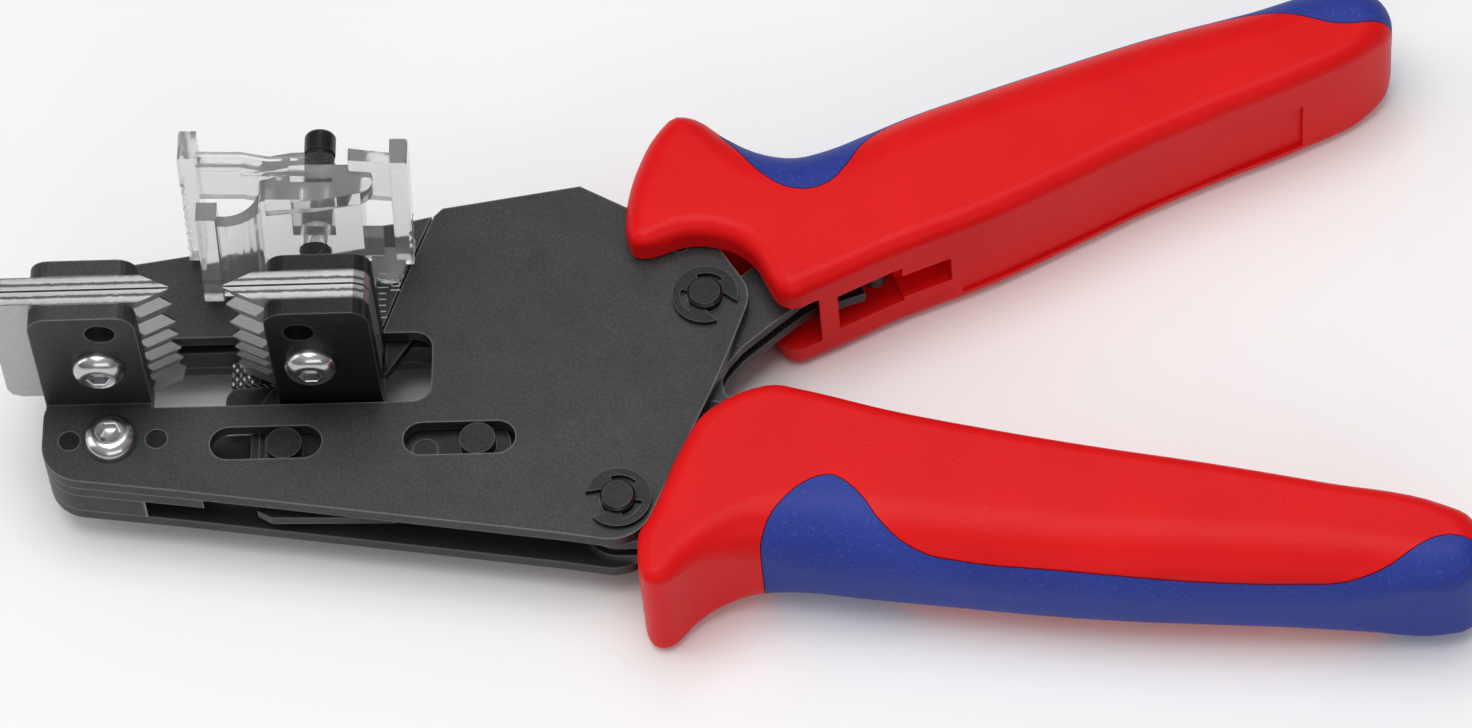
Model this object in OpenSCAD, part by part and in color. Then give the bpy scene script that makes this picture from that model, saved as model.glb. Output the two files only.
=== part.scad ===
// Automatic wire stripper, millimetres. Tool frame: x runs from the jaws to the handles,
// y from the near half to the far half, z up from the underside of the steel body.
// The placing module moves that frame so that the grips stand on z = 0.

/* [Steel body] */
// thickness of the two outer steel plates
plate_t = 2; // [1.6:0.1:2.4]
// height of the whole plate stack
body_h = 10; // [9:0.1:12]
// clearance between plates that slide over each other
layer_gap = 0.3; // [0.2:0.05:0.4]
// width of the open seam between near and far half
seam_w = 0.3; // [0.3:0.05:0.6]
// radius of the rounded front corner
nose_r = 6; // [4:0.5:7]
// near edge of the window between the halves
window_near = 5.1; // [4.6:0.1:5.3]
// far edge of the window between the halves
window_far = 16.4; // [16:0.1:17.5]
// right end of the window
window_end = 44.6; // [43:0.1:46.5]

/* [Slots and guide pins] */
// diameter of the two guide pins
guide_d = 5; // [4:0.1:5.2]
// running clearance all round a guide pin
guide_fit = 0.1; // [0.03:0.01:0.1]
// position along the body of the first guide pin
guide_x1 = 24.19; // [23:0.1:25.5]
// position along the body of the second guide pin
guide_x2 = 51.22; // [50:0.1:52.5]
// position across the body of both guide pins
guide_y = -1.05; // [-1.5:0.05:-0.5]
// free length beyond the stroke at each slot end
slot_spare = 0.55; // [0.4:0.05:1]

/* [Jaws] */
// travel of the moving jaws
stroke = 7.26; // [7:0.01:7.3]
// thickness of the bent-up jaw flanges
flange_t = 2.6; // [2:0.1:2.8]
// thickness of one blade
blade_t = 2.1; // [1.6:0.1:2.2]
// gap between the near and the far blade
blade_gap = 0.3; // [0.3:0.05:0.5]
// middle plane between near and far jaws
mid_y = 10.75; // [10.6:0.01:10.9]
// height of the blade tops above the top plate
blade_rise = 22.2; // [20:0.1:23]
// left end of the fixed blades
blade_back = -15; // [-17:0.5:-12]
// tip line of the fixed blades
tip_fixed = 10.3; // [10:0.05:10.6]
// gap from tip to tip with the jaws open
tip_gap = 7.4; // [7.36:0.01:8]
// depth of a notch as a share of its height
notch_share = 0.37; // [0.25:0.01:0.45]
// set-back of the ground bevel at the outer face
bevel_back = 4.2; // [3:0.1:5]
// diameter of the blade screw shanks
blade_screw_d = 4; // [3:0.1:4.2]
// diameter of the blade screw heads
blade_head_d = 7.5; // [6.5:0.1:8]

/* [Pivots] */
// diameter of the two handle pins
pin_d = 5; // [4:0.1:5.5]
// running clearance all round the handle pin
pin_fit = 0.05; // [0.02:0.01:0.1]
// outside diameter of the retaining clips
clip_d = 9.3; // [8:0.1:10]
// thickness of the retaining clips
clip_t = 0.8; // [0.6:0.05:1]
// diameter of the far pivot pin
far_pin_d = 3; // [2.5:0.1:3.4]
// lever length from the handle pin to the drive pin
lever_arm = 17.63; // [17:0.01:17.9]
// lean of that lever with the handle open
lever_lean = 4; // [3:0.1:5]
// diameter of the drive pin
drive_d = 3.6; // [3:0.1:4]

/* [Grips] */
// thickness of the grips
grip_h = 20.6; // [18:0.1:22]
// rounding of the grip backs
back_round = 9; // [6:0.1:9.5]
// rounding of the inner edges
edge_round = 2.5; // [1.5:0.1:3]
// clearance of the pockets in the grips around steel plates
pocket_gap = 0.4; // [0.3:0.05:0.6]

/* [Length stop] */
// diameter of the stop rod
rod_d = 4.5; // [4:0.1:4.9]
// far end of the stop rod
rod_end = 43.6; // [40:0.1:46]
// running clearance all round the rod
rod_fit = 0.06; // [0.03:0.01:0.1]
// height of the rod axis above the top plate
rod_rise = 9.4; // [9:0.1:9.8]
// wall thickness of the length stop
stop_wall = 2.5; // [1.8:0.1:2.6]

/* [Return spring] */
// wire diameter of the return spring
spring_wire = 0.55; // [0.4:0.05:0.6]
// outside diameter of the return spring
spring_d = 4; // [3.4:0.1:4.2]
// number of curls
spring_curls = 20; // [14:1:22]
// length of the coil between its two anchors
spring_reach = 22; // [20:0.1:22.2]

/* [Hidden] */
$fn = 48;
eps = 0.01;
two = 2;
half_turn = 180;
quarter_turn = 90;
full_turn = 360;
round_fn = 40;
grip_sink = (grip_h - body_h) / two;
grip_right = 189.6;
grip_back_low = -29.9;
grip_back_high = 69.4;
centre_x = (blade_back + grip_right) / two;
centre_y = (grip_back_low + grip_back_high) / two;
blade_top = body_h + blade_rise;
rod_z = body_h + rod_rise;
seat_gap = 0.15;
inner_h = body_h - two * plate_t;
layer_t = (inner_h - 4 * layer_gap) / 3;
z_top_plate = body_h - plate_t;
z_layer_low = plate_t + layer_gap;
z_layer_mid = z_layer_low + layer_t + layer_gap;
z_layer_high = z_layer_mid + layer_t + layer_gap;
near_blade_y = mid_y - blade_gap / two - blade_t;
far_blade_y = mid_y + blade_gap / two;
near_flange_y = near_blade_y - flange_t;
far_flange_y = far_blade_y + blade_t;
pin1 = [82.83, 20.99];
pin2 = [71.03, -11.73];
far_pin = [79.06, 30.11];
drive_open = [pin1.x + lever_arm * sin(lever_lean), pin1.y - lever_arm * cos(lever_lean)];
tang_t = z_layer_mid - seat_gap - plate_t;
spring_start = 40;
hook_gap = 0.3;
far_screw = [-2, 22.5];
far_rivet_at = [33, 31];
slider_rivet_at = [43.8, -1.6];
grip_pin_at = [106.2, 27.6];
left_screw = [-0.7, body_h + 9.9];
right_screw = [28.8, rod_z];
front_dowels = [-5.85, 6.34];

function arc(c, r, a0, a1, n) =
    [for (i = [0:n]) [c.x + r * cos(a0 + (a1 - a0) * i / n), c.y + r * sin(a0 + (a1 - a0) * i / n)]];

module place() {
    translate([-centre_x, -centre_y, grip_sink]) children();
}

module steel() { color([0.16, 0.16, 0.17]) children(); }
module bright() { color([0.78, 0.78, 0.8]) children(); }
module black() { color([0.06, 0.06, 0.07]) children(); }
module red() { color([0.85, 0.1, 0.12]) children(); }
module blue() { color([0.2, 0.28, 0.63]) children(); }
module clear() { color([0.9, 0.93, 0.95]) children(); }

// Near half outline, with the two guide slots left to the top plate
near_lower = concat(
    arc([-9.7 + nose_r, -0.6], nose_r, half_turn, 262, 10),
    [[10.06, -8.59], [63.06, -16.81]],
    arc([70.1, -12.2], 5.8, 262, 337, 10),
    [[83.8, 5.65], [86.46, 12.89]],
    arc([82.83, 20.9], 6, -20, 33, 8),
    [[84.21, 29.89]],
    arc([79.06, 30.11], 4.4, 18, 118, 8),
    [[71.34, 36.44], [64.89, 40.11], [45.37, 36.96], [44.18, 35.64]]);

module near_outline(front) {
    polygon(concat(near_lower, [
        [41.19, 27.52], [37.72, 17.13], [37.5, window_far], [window_end - 2.6, window_far]],
        arc([window_end - 2.6, window_far - 2.6], 2.6, quarter_turn, 0, 5),
        arc([window_end - 2.6, window_near + 2.6], 2.6, 0, -quarter_turn, 5),
        [[5.5, window_near], [5.5, front], [-9.5, front], [-9.7, front - 1]]));
}

module slot_outline(x) {
    r = guide_d / two + guide_fit;
    hull() {
        translate([x + 2.75, guide_y]) circle(r = r);
        translate([x - stroke - slot_spare + guide_fit, guide_y]) circle(r = r);
    }
}

// A jaw flange standing on the plates, seen from the side: x, then height
module flange(x0, x1, y, z0, z1, holes) {
    r = 2.75;
    translate([0, y + flange_t, 0]) rotate([quarter_turn, 0, 0]) linear_extrude(flange_t)
        difference() {
            polygon(concat([[x0, z0], [x1, z0]],
                arc([x1 - r, z1 - r], r, 0, quarter_turn, 6),
                arc([x0 + r, z1 - r], r, quarter_turn, half_turn, 6)));
            for (h = holes) translate([h.x, h.y]) circle(d = h.z);
        }
}

module near_top_plate() {
    steel() place() {
        difference() {
            union() {
                translate([0, 0, z_top_plate]) linear_extrude(plate_t) near_outline(window_near);
                bend_foot(-9.4, 5.5, near_flange_y, window_near, 1);
            }
            for (x = [guide_x1, guide_x2])
                translate([0, 0, z_top_plate - 1]) linear_extrude(plate_t + two) slot_outline(x);
            for (x = front_dowels) hole([x, 0], 3);
            hole([0, 0], 4);
            hole(pin1, pin_d);
            hole(pin2, pin_d);
            hole(far_pin, far_pin_d);
        }
        flange(-9.4, 5.5, near_flange_y, z_top_plate + plate_t - eps, blade_top,
            [[left_screw.x, left_screw.y, blade_screw_d], [0.5, left_screw.y + 8.4, 4.2]]);
    }
}

// Bend between a flat plate and its upright flange, side is 1 for near and -1 for far
module bend_foot(x0, x1, y, edge, side) {
    y0 = side > 0 ? edge - eps : y;
    y1 = side > 0 ? y + flange_t : edge + eps;
    translate([x0, y0, z_top_plate]) cube([x1 - x0, y1 - y0, plate_t]);
}

module hole(p, d) {
    translate([p.x, p.y, -1]) cylinder(d = d, h = body_h + two);
}

module near_bottom_plate() {
    steel() place() difference() {
        linear_extrude(plate_t) near_outline(window_near);
        for (x = front_dowels) hole([x, 0], 3);
        hole([0, 0], 4);
        hole(pin1, pin_d);
        hole(pin2, pin_d);
        hole(far_pin, far_pin_d);
    }
}

// Packing between the plates at the front
module liner_outline(x_end) {
    polygon(concat(
        arc([-9.7 + nose_r, -0.6], nose_r, half_turn, 262, 10),
        [[10.06, -8.59], [x_end, -8.59 - 0.155 * (x_end - 10.06)], [x_end, -6.3], [7.4, -6.3],
         [7.4, window_near], [-9.5, window_near], [-9.7, window_near - 1]]));
}

module front_liner() {
    steel() place() difference() {
        translate([0, 0, z_top_plate - plate_t]) linear_extrude(plate_t) liner_outline(13);
        for (x = front_dowels) hole([x, 0], 3);
        hole([0, 0], 4);
    }
}

module front_spacer() {
    steel() place() difference() {
        translate([0, 0, plate_t]) linear_extrude(inner_h - plate_t)
            polygon(concat(
                arc([-9.7 + nose_r, -0.6], nose_r, half_turn, 262, 10),
                [[3.2, -7.62]],
                arc([5.4, -5.8], 2.2, 250, 100, 8),
                [[7.4, -3.6], [7.4, window_near], [-9.5, window_near], [-9.7, window_near - 1]]));
        for (x = front_dowels) hole([x, 0], 3);
        hole([0, 0], 4);
    }
}

// Button-head screw with its head at z = 0 and the shank below, hex socket in the head
module button_screw(d, head_d, head_h, length, socket) {
    difference() {
        union() {
            rotate_extrude($fn = round_fn) polygon(concat([[0, 0], [head_d / two, 0]],
                [for (a = [0:10:70]) [head_d * (0.22 + 0.28 * cos(a)), head_h * (0.12 + 0.88 * sin(a) / sin(70))]],
                [[0, head_h]]));
            translate([0, 0, -length]) cylinder(d = d, h = length + eps);
        }
        translate([0, 0, head_h * 0.3]) cylinder(d = socket, h = head_h, $fn = 6);
    }
}

module front_screw() {
    bright() place() translate([0, 0, body_h]) button_screw(4, 7.6, 2.2, body_h, 2.9);
}

module dowel(x) {
    bright() place() translate([x, 0, 0.3]) cylinder(d = 3, h = body_h - 0.7);
}
module dowel_pin_left() { dowel(front_dowels[0]); }
module dowel_pin_right() { dowel(front_dowels[1]); }

// Toothed blade plate: tips point to +x when dir is 1; bevel is ground on the outer face
tips_fixed = [22.3, 18.3, 13.7, 10.5, 7, 4.4, 1.7];
tips_moving = [22.2, 17.8, 13.2, 9.6, 6.8, 4.7, 2.5];
blade_corner = 2;

// Notched front edge from the top tip down, with the notches getting smaller
function notched(rises, tip, dir) = concat([[tip, blade_top]],
    [for (i = [1:len(rises) - 1]) let (h = rises[i - 1] - rises[i]) each [
        [tip - dir * h * notch_share, body_h + rises[i] + h * 0.44],
        [tip, body_h + rises[i]]]]);

module blade_plate(rises, tip, back, dir, low) {
    polygon(concat([[back + dir * blade_corner, blade_top]], notched(rises, tip, dir),
        [[tip - dir * 0.4, low + 0.6], [tip - dir * 1.2, low], [back + dir * blade_corner, low],
         [back + dir * 0.6, low + 0.6], [back, low + blade_corner], [back, blade_top - blade_corner],
         [back + dir * 0.6, blade_top - 0.6]]));
}

// The notched edge is sheared back from the inner to the outer face, as ground
module blade(rises, tip, back, dir, y, low, screw, outer) {
    inner_y = outer < 0 ? y + blade_t : y;
    lean = dir * bevel_back / blade_t * (outer < 0 ? 1 : -1);
    difference() {
        intersection() {
            translate([0, y + blade_t, 0]) rotate([quarter_turn, 0, 0]) linear_extrude(blade_t)
                blade_plate(rises, tip + dir * 9, back, dir, low);
            multmatrix([[1, lean, 0, -lean * inner_y], [0, 1, 0, 0], [0, 0, 1, 0], [0, 0, 0, 1]])
                translate([0, y + blade_t + 1, 0]) rotate([quarter_turn, 0, 0])
                linear_extrude(blade_t + two)
                polygon(concat([[tip - dir * 0, blade_top + 3]], notched(rises, tip, dir),
                    [[tip - dir * 1.2, low - 1], [back - dir * 12, low - 1],
                     [back - dir * 12, blade_top + 3]]));
        }
        translate([screw.x, y - 1, screw.y]) rotate([-quarter_turn, 0, 0])
            cylinder(d = blade_screw_d, h = blade_t + two);
    }
}

module near_fixed_blade() {
    bright() place() blade(tips_fixed, tip_fixed, blade_back, 1, near_blade_y, body_h - 1.6, left_screw, -1);
}
module far_fixed_blade() {
    bright() place() blade(tips_fixed, tip_fixed, blade_back, 1, far_blade_y, body_h - 1.6, left_screw, 1);
}
module near_moving_blade() {
    bright() place() blade(tips_moving, tip_fixed + tip_gap, 37.8, -1, near_blade_y, body_h - 0.3,
        right_screw, -1);
}
module far_moving_blade() {
    bright() place() blade(tips_moving, tip_fixed + tip_gap, 37.8, -1, far_blade_y, body_h - 0.3,
        right_screw, 1);
}

module side_screw(p, y, dir, length) {
    bright() place() translate([p.x, y, p.y]) rotate([dir * quarter_turn, 0, 0])
        button_screw(blade_screw_d, blade_head_d, 2.1, length, 2.8);
}
module near_fixed_screw() { side_screw(left_screw, near_flange_y, 1, flange_t + blade_t); }
module near_moving_screw() { side_screw(right_screw, near_flange_y, 1, flange_t + blade_t); }
module far_fixed_screw() {
    side_screw(left_screw, far_flange_y + flange_t, -1, flange_t + blade_t);
}

// Handle pins with a groove for the clip at the top and a flat head below
module grooved_pin(d) {
    rotate_extrude($fn = round_fn) polygon([[0, -0.9], [d / two + 1.2, -0.9], [d / two + 1.2, 0],
        [d / two, 0], [d / two, body_h], [d / two - 0.5, body_h], [d / two - 0.5, body_h + clip_t],
        [d / two, body_h + clip_t], [d / two, body_h + clip_t + 0.5],
        [d / two - 0.35, body_h + clip_t + 0.85], [0, body_h + clip_t + 0.85]]);
}

module clip(turn) {
    r_in = pin_d / two - 0.5;
    translate([0, 0, body_h]) rotate(turn) linear_extrude(clip_t) difference() {
        circle(d = clip_d);
        circle(r = r_in);
        for (a = [60, 180, 300]) rotate(a + half_turn) wedge(r_in, clip_d / two - 1.15, 33);
        polygon([[0, -r_in * 0.82], [clip_d, -r_in * 1.35], [clip_d, r_in * 1.35], [0, r_in * 0.82]]);
    }
}

module wedge(r0, r1, a) {
    polygon(concat(arc([0, 0], r1, -a, a, 8), arc([0, 0], r0 * 0.9, a, -a, 4)));
}

module handle_pin() { black() place() translate([pin1.x, pin1.y, 0]) grooved_pin(pin_d); }
module tang_pin() { black() place() translate([pin2.x, pin2.y, 0]) grooved_pin(pin_d); }
module handle_pin_clip() { black() place() translate([pin1.x, pin1.y, 0]) clip(-42); }
module tang_pin_clip() { black() place() translate([pin2.x, pin2.y, 0]) clip(195); }
module far_pivot_pin() {
    black() place() translate([far_pin.x, far_pin.y, 0]) cylinder(d = far_pin_d, h = body_h);
}

// Fixed tang of the lower handle
module tang_outline() {
    polygon(concat(
        arc(pin2, 5.5, 95, 262, 12),
        [[78, -17.4], [96, -19], [128, -22], [129, -17], [128, -12.5], [96, -7.5], [80, -4.6]]));
}
module tang(z) {
    steel() place() difference() {
        translate([0, 0, z]) linear_extrude(tang_t) tang_outline();
        hole(pin2, pin_d);
    }
}
module tang_upper() { tang(z_top_plate - tang_t); }
module tang_lower() { tang(plate_t); }

// Grip outlines at mid height, with the rounding of the edge at each point
upper_line = [[72.9, 27.6, 2], [71.9, 29.5, 2.5], [71.7, 33, 3], [72.2, 37.5, 3.5], [73.4, 42, 4],
    [75.6, 46.6, 3.8], [78.6, 49.6, 3.6], [81.6, 49.2, 4], [85.5, 46.9, 5.6], [90, 45.3, 8],
    [95.4, 44.6, 9], [99.5, 45.6, 9], [104.5, 47.8, 9], [111, 50.8, 9], [121, 54.6, 9], [133, 58.9, 9],
    [146, 63.3, 9], [160, 66.9, 8.5], [171, 69.4, 7], [176.3, 69, 6], [179.5, 66.9, 5.5],
    [180.7, 63.4, 5], [180, 60, 4], [177.7, 57.6, 3], [167.5, 51.9, 2.5], [156, 46.9, 2.5],
    [144.2, 41.4, 2.5], [134, 36, 2.5], [124, 30.9, 2.5], [109.7, 25, 2.5], [98, 19.4, 2.5],
    [95.2, 18.3, 2.5], [93.2, 19.2, 2.5], [91.8, 21.5, 2.5], [90, 25.2, 2.5], [87.6, 27.5, 2.5],
    [84, 28.9, 2.5], [80.4, 29.1, 2.5], [77.5, 28.2, 2.5], [75.2, 27.4, 2]];
lower_line = [[74.1, -19.4, 2.4], [75.6, -16.5, 2.5], [76.9, -13.3, 2.5], [79.7, -6, 2.5],
    [82.9, -0.4, 2.5], [86.5, 2.2, 2.5], [89.8, 3.6, 2.5], [93, 4.1, 2.5], [96.3, 3.3, 2.5],
    [108.7, -0.5, 2.5], [123.9, -4.3, 2.5], [137, -7.2, 2.5], [151.5, -10.1, 2.5],
    [168, -13.8, 2.5], [184.2, -17.6, 3], [187.5, -19.2, 3.3], [189.4, -22, 3.8], [189.6, -25.5, 4],
    [188, -28.5, 4.4], [184.1, -29.9, 5.5], [173, -29.9, 7.5], [162.6, -29.4, 8.6], [151, -28.8, 9],
    [140.2, -28, 9], [128, -26.7, 9], [117.7, -25.3, 9], [106, -23.7, 9], [95.5, -22, 8.5],
    [92.2, -21.5, 7.5], [88.9, -21.4, 6.4], [86, -21.9, 5], [83.3, -22.9, 3.8], [80.6, -24.9, 2.9],
    [78.6, -26.9, 2.2], [76.8, -27.6, 1.9], [75.1, -27, 1.8], [74.2, -25, 2]];

function unit(v) = v / norm(v);
// Inward normal at point i of a clockwise outline
function inward(l, i) = let (n = len(l), a = l[(i + n - 1) % n], b = l[i], c = l[(i + 1) % n],
    d0 = unit([b.x - a.x, b.y - a.y]), d1 = unit([c.x - b.x, c.y - b.y]),
    s = unit(d0 + d1), m = [s.y, -s.x], k = m * [d0.y, -d0.x]) m / max(k, 0.75);
function edge_r(r) = r > 3 ? r * back_round / 9 : r * edge_round / 2.5;

// Triangles that close an outline from its first point to its rightmost point
function tip_index(l) = search([max([for (p = l) p.x])], [for (p = l) p.x])[0];
function zipper(l, i, j, tip) = j - i < 2 ? [] :
    i < tip && (j == tip || l[i + 1].x <= l[j - 1].x)
    ? concat([[i, i + 1, j]], zipper(l, i + 1, j, tip))
    : concat([[i, j - 1, j]], zipper(l, i, j - 1, tip));

ring_angles = [-90, -68, -45, -22, 0, 22, 45, 68, 90];

module grip_body(l) {
    n = len(l);
    m = len(ring_angles);
    h = grip_h / two;
    points = [for (k = [0:m - 1], i = [0:n - 1]) let (r = edge_r(l[i].z), a = ring_angles[k],
        w = inward(l, i) * r * (1 - cos(a)),
        z = (a < 0 ? -1 : (a > 0 ? 1 : 0)) * (h - r) + r * sin(a)) [l[i].x + w.x, l[i].y + w.y, z]];
    walls = [for (k = [0:m - 2], i = [0:n - 1]) let (j = (i + 1) % n)
        each [[k * n + i, k * n + j, (k + 1) * n + j], [k * n + i, (k + 1) * n + j, (k + 1) * n + i]]];
    flat = zipper(l, 0, n - 1, tip_index(l));
    caps = [for (t = flat) each [[t[2], t[1], t[0]], [for (v = t) v + (m - 1) * n]]];
    translate([0, 0, body_h / two])
        polyhedron(points = points, faces = concat(walls, caps), convexity = 6);
}

// Plan outlines of the soft inserts, cut through the whole thickness
lower_soft = [[90.6, -40], [90.8, -20.5], [91.9, -18], [93.8, -15.5], [96.4, -13.1], [99, -11.8],
    [100.9, -11.7], [102.8, -12.9], [104.9, -15.2], [106.9, -18.2], [109.6, -20.8], [113.5, -22.7],
    [118.2, -23.7], [131.5, -25.5], [149.1, -27.4], [165, -28.4], [169.5, -28.6], [172.8, -28.3],
    [176.6, -27.3], [180, -25.3], [182.2, -24.1], [184.8, -23.6], [187.7, -24.3], [200, -27],
    [200, -40]];
upper_soft = [[84.5, 80], [84.9, 45.6], [87.2, 43.1], [90.7, 38.5], [94.3, 35.8], [97.8, 35.3],
    [100.4, 36.3], [102.8, 39.1], [105.2, 43.5], [108.5, 46.9], [112, 48.8], [121, 52.3],
    [133, 56.6], [146, 61], [155, 63.3], [160.5, 63.9], [165.3, 63.2], [168.6, 62.1],
    [172.5, 60.9], [176, 60.9], [179.5, 61.6], [200, 64], [200, 80]];

module soft_column(outline) {
    translate([0, 0, -grip_h]) linear_extrude(grip_h * 3) polygon(outline);
}

// Pockets in the grips
module body_pocket() {
    translate([0, 0, -pocket_gap]) linear_extrude(body_h + two * pocket_gap)
        polygon([[60, -30], [60, 60], [81, 45], [97, 30], [99.5, 20], [94, 2], [90, -6], [78, -17.9],
            [70, -19]]);
}

module lever_pocket() {
    translate([0, 0, plate_t]) linear_extrude(inner_h) polygon([[70, -18.5], [128.5, -23],
        [129.5, -17], [128.5, -12], [96, -6], [88, 8], [70, 8]]);
}

module lower_grip() {
    red() place() difference() {
        grip_body(lower_line);
        soft_column(lower_soft);
        lower_pockets();
    }
}

module lower_pockets() {
    // nose plates and sweeping levers
    translate([0, 0, -pocket_gap]) linear_extrude(body_h + two * pocket_gap)
        polygon([[60, -22], [60, 12], [86, 12], [83.8, 0.5], [81.2, -5], [77.6, -14.5], [75.4, -19.4]]);
    translate([0, 0, plate_t - pocket_gap]) linear_extrude(inner_h + two * pocket_gap)
        polygon([[60, -3], [60, 12], [94, 12], [93.5, -1], [88, -3.6]]);
    for (z = [plate_t, z_top_plate - tang_t])
        translate([0, 0, z]) linear_extrude(tang_t) tang_outline();
}

module lower_grip_insert() {
    blue() place() difference() {
        intersection() {
            grip_body(lower_line);
            soft_column(lower_soft);
        }
        lower_pockets();
    }
}

// Levers of the upper handle
module lever_outline() {
    polygon(concat(
        arc(pin1, 5.4, 200, 45, 12),
        [[97, 34], [130, 50.2]],
        arc([132, 45.5], 4.6, 100, -60, 8),
        [[112, 31.2], [96.5, 21.4], [92.7, 18.2], [88, 14], [85.9, 11.3], [85, 9.4], [85.4, 7]],
        arc(drive_open, 3.2, 60, -170, 12),
        [[79.4, 9], [77.9, 15]]));
}
module lever(z) {
    steel() place() difference() {
        translate([0, 0, z]) linear_extrude(layer_t) lever_outline();
        hole(pin1, pin_d + two * pin_fit);
        hole(drive_open, drive_d);
    }
}
module lever_upper() { lever(z_layer_high); }
module lever_lower() { lever(z_layer_low); }
module drive_pin() {
    black() place() translate([drive_open.x, drive_open.y, z_layer_low])
        cylinder(d = drive_d, h = z_layer_high + layer_t - z_layer_low);
}

module grip_pin() {
    black() place() translate([grip_pin_at.x, grip_pin_at.y, z_layer_low + layer_t])
        cylinder(d = 4, h = z_layer_high - z_layer_low - layer_t);
}

// Side openings and the shallow panel in the inner wall of the upper grip
wall_dir = [0.916, 0.401];
wall_in = [-0.401, 0.916];
function on_wall(s, d) = [95.2, 18.3] + s * wall_dir + d * wall_in;

module side_window(s0, s1, depth, z0, z1) {
    translate([0, 0, z0]) linear_extrude(z1 - z0)
        polygon([on_wall(s0, -3), on_wall(s0, depth), on_wall(s1, depth), on_wall(s1, -3)]);
}

module side_panel() {
    translate([0, 0, -2.6]) linear_extrude(10)
        polygon([[118.6, 29], [124, 31.4], [134, 36.5], [144.2, 41.9], [156, 47.4], [167.4, 52.5],
            [168.6, 50.4], [156, 43], [134, 32], [119.6, 26]]);
}

module upper_grip() {
    red() place() difference() {
        grip_body(upper_line);
        soft_column(upper_soft);
        translate([0, 0, -pocket_gap]) linear_extrude(body_h + two * pocket_gap)
            polygon([[60, 10], [100, 10], [98.3, 24], [92.2, 30], [87, 39], [81, 45.6], [60, 60]]);
        for (z = [z_layer_low, z_layer_high])
            translate([0, 0, z]) linear_extrude(layer_t) lever_outline();
        side_window(6.7, 16.8, 9, 0.9, 9.2);
        side_window(16.7, 24.2, 4, 1.7, 7.2);
        side_panel();
    }
}
module upper_grip_insert() {
    blue() place() intersection() {
        grip_body(upper_line);
        soft_column(upper_soft);
    }
}

// Near slider with its foot under the blades, flange up through the window
module near_slider() {
    steel() place() {
        difference() {
            translate([0, 0, z_layer_high]) linear_extrude(layer_t) polygon(concat(
                [[19.4, guide_y - 4.6], [19.4, 4.4], [21.6, near_blade_y], [23.3, near_blade_y + 2],
                 [37.85, near_blade_y + 2], [37.85, 3.6]],
                arc([guide_x2, guide_y], 4.6, quarter_turn, -quarter_turn, 10)));
            hole([guide_x1, guide_y], guide_d);
            hole([guide_x2, guide_y], guide_d);
            hole(slider_rivet_at, 3.5);
            translate([20.6, guide_y - 3, z_layer_high + layer_t - 0.6]) cube([0.8, 6, 1]);
        }
        flange(23.3, 37.85, near_flange_y, z_layer_high + layer_t - eps, blade_top,
            [[right_screw.x, right_screw.y, blade_screw_d], [27.9, rod_z + 8, 4.2]]);
    }
}

module slider_rivet() {
    black() place() translate([slider_rivet_at.x, slider_rivet_at.y, z_layer_high])
        cylinder(d = 3.5, h = layer_t - 0.15);
}

// Dark foot in front of the moving blades
module near_foot() {
    steel() place() translate([0, 0, z_layer_mid]) linear_extrude(z_layer_high - z_layer_mid)
        polygon(concat(
            arc([17.3, 8.3], 2, quarter_turn, half_turn, 5), [[15.3, 5.6], [33, 5.6]],
            [[33, 10.3]]));
}

module guide_pin(x, z) {
    black() place() translate([x, guide_y, z]) cylinder(d = guide_d, h = body_h - 0.15 - z);
}
module front_guide_pin() { guide_pin(guide_x1, z_layer_mid); }
module rear_guide_pin() { guide_pin(guide_x2, z_layer_mid); }

module drive_link() {
    steel() place() difference() {
        translate([0, 0, z_layer_mid]) linear_extrude(layer_t) hull() {
            translate([guide_x2, guide_y]) circle(r = 4.4);
            translate([drive_open.x, drive_open.y + 0.5]) circle(r = 3.9);
        }
        hole([guide_x2, guide_y], guide_d);
        translate([0, 0, z_layer_mid - 1]) linear_extrude(layer_t + two) hull()
            for (dy = [-0.25, 1.25]) translate([drive_open.x, drive_open.y + dy])
                circle(d = drive_d + 0.24);
    }
}

// Moving hook that pulls the return spring, and the fixed anchor at its other end
module spring_hook() {
    steel() place() difference() {
        translate([0, 0, z_layer_mid]) linear_extrude(layer_t) polygon(concat(
            arc([guide_x1, guide_y], 4.2, -15, 195, 12),
            [[19.6, -6], [20.4, -9.6], [22.4, -10.8], [spring_start - hook_gap, -11.2],
             [spring_start - hook_gap, -7.6], [30, -7], [28.4, -5]]));
        hole([guide_x1, guide_y], guide_d);
    }
}
module spring_anchor() {
    steel() place() difference() {
        translate([0, 0, z_layer_mid]) linear_extrude(layer_t) polygon(concat(
            arc(pin2, 4.8, -150, 120, 14),
            [[66, -7.8], [spring_start + spring_reach + hook_gap, -7.6],
             [spring_start + spring_reach + hook_gap, -10.8], [66.4, -12.6]]));
        hole(pin2, pin_d);
    }
}

// Rails flush with the far edge of the window
module near_rail() {
    steel() place() translate([0, 0, plate_t]) linear_extrude(z_layer_high - plate_t - layer_gap)
        polygon([[38.3, window_far], [window_end - 1, window_far], [52, 14], [52, 21], [40.3, 22.2]]);
}
module far_rail() {
    steel() place() translate([0, 0, plate_t]) linear_extrude(z_layer_high - plate_t - layer_gap)
        polygon([[7.4, window_far], [37.2, window_far], [38.9, 21], [7.4, 21]]);
}

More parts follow.
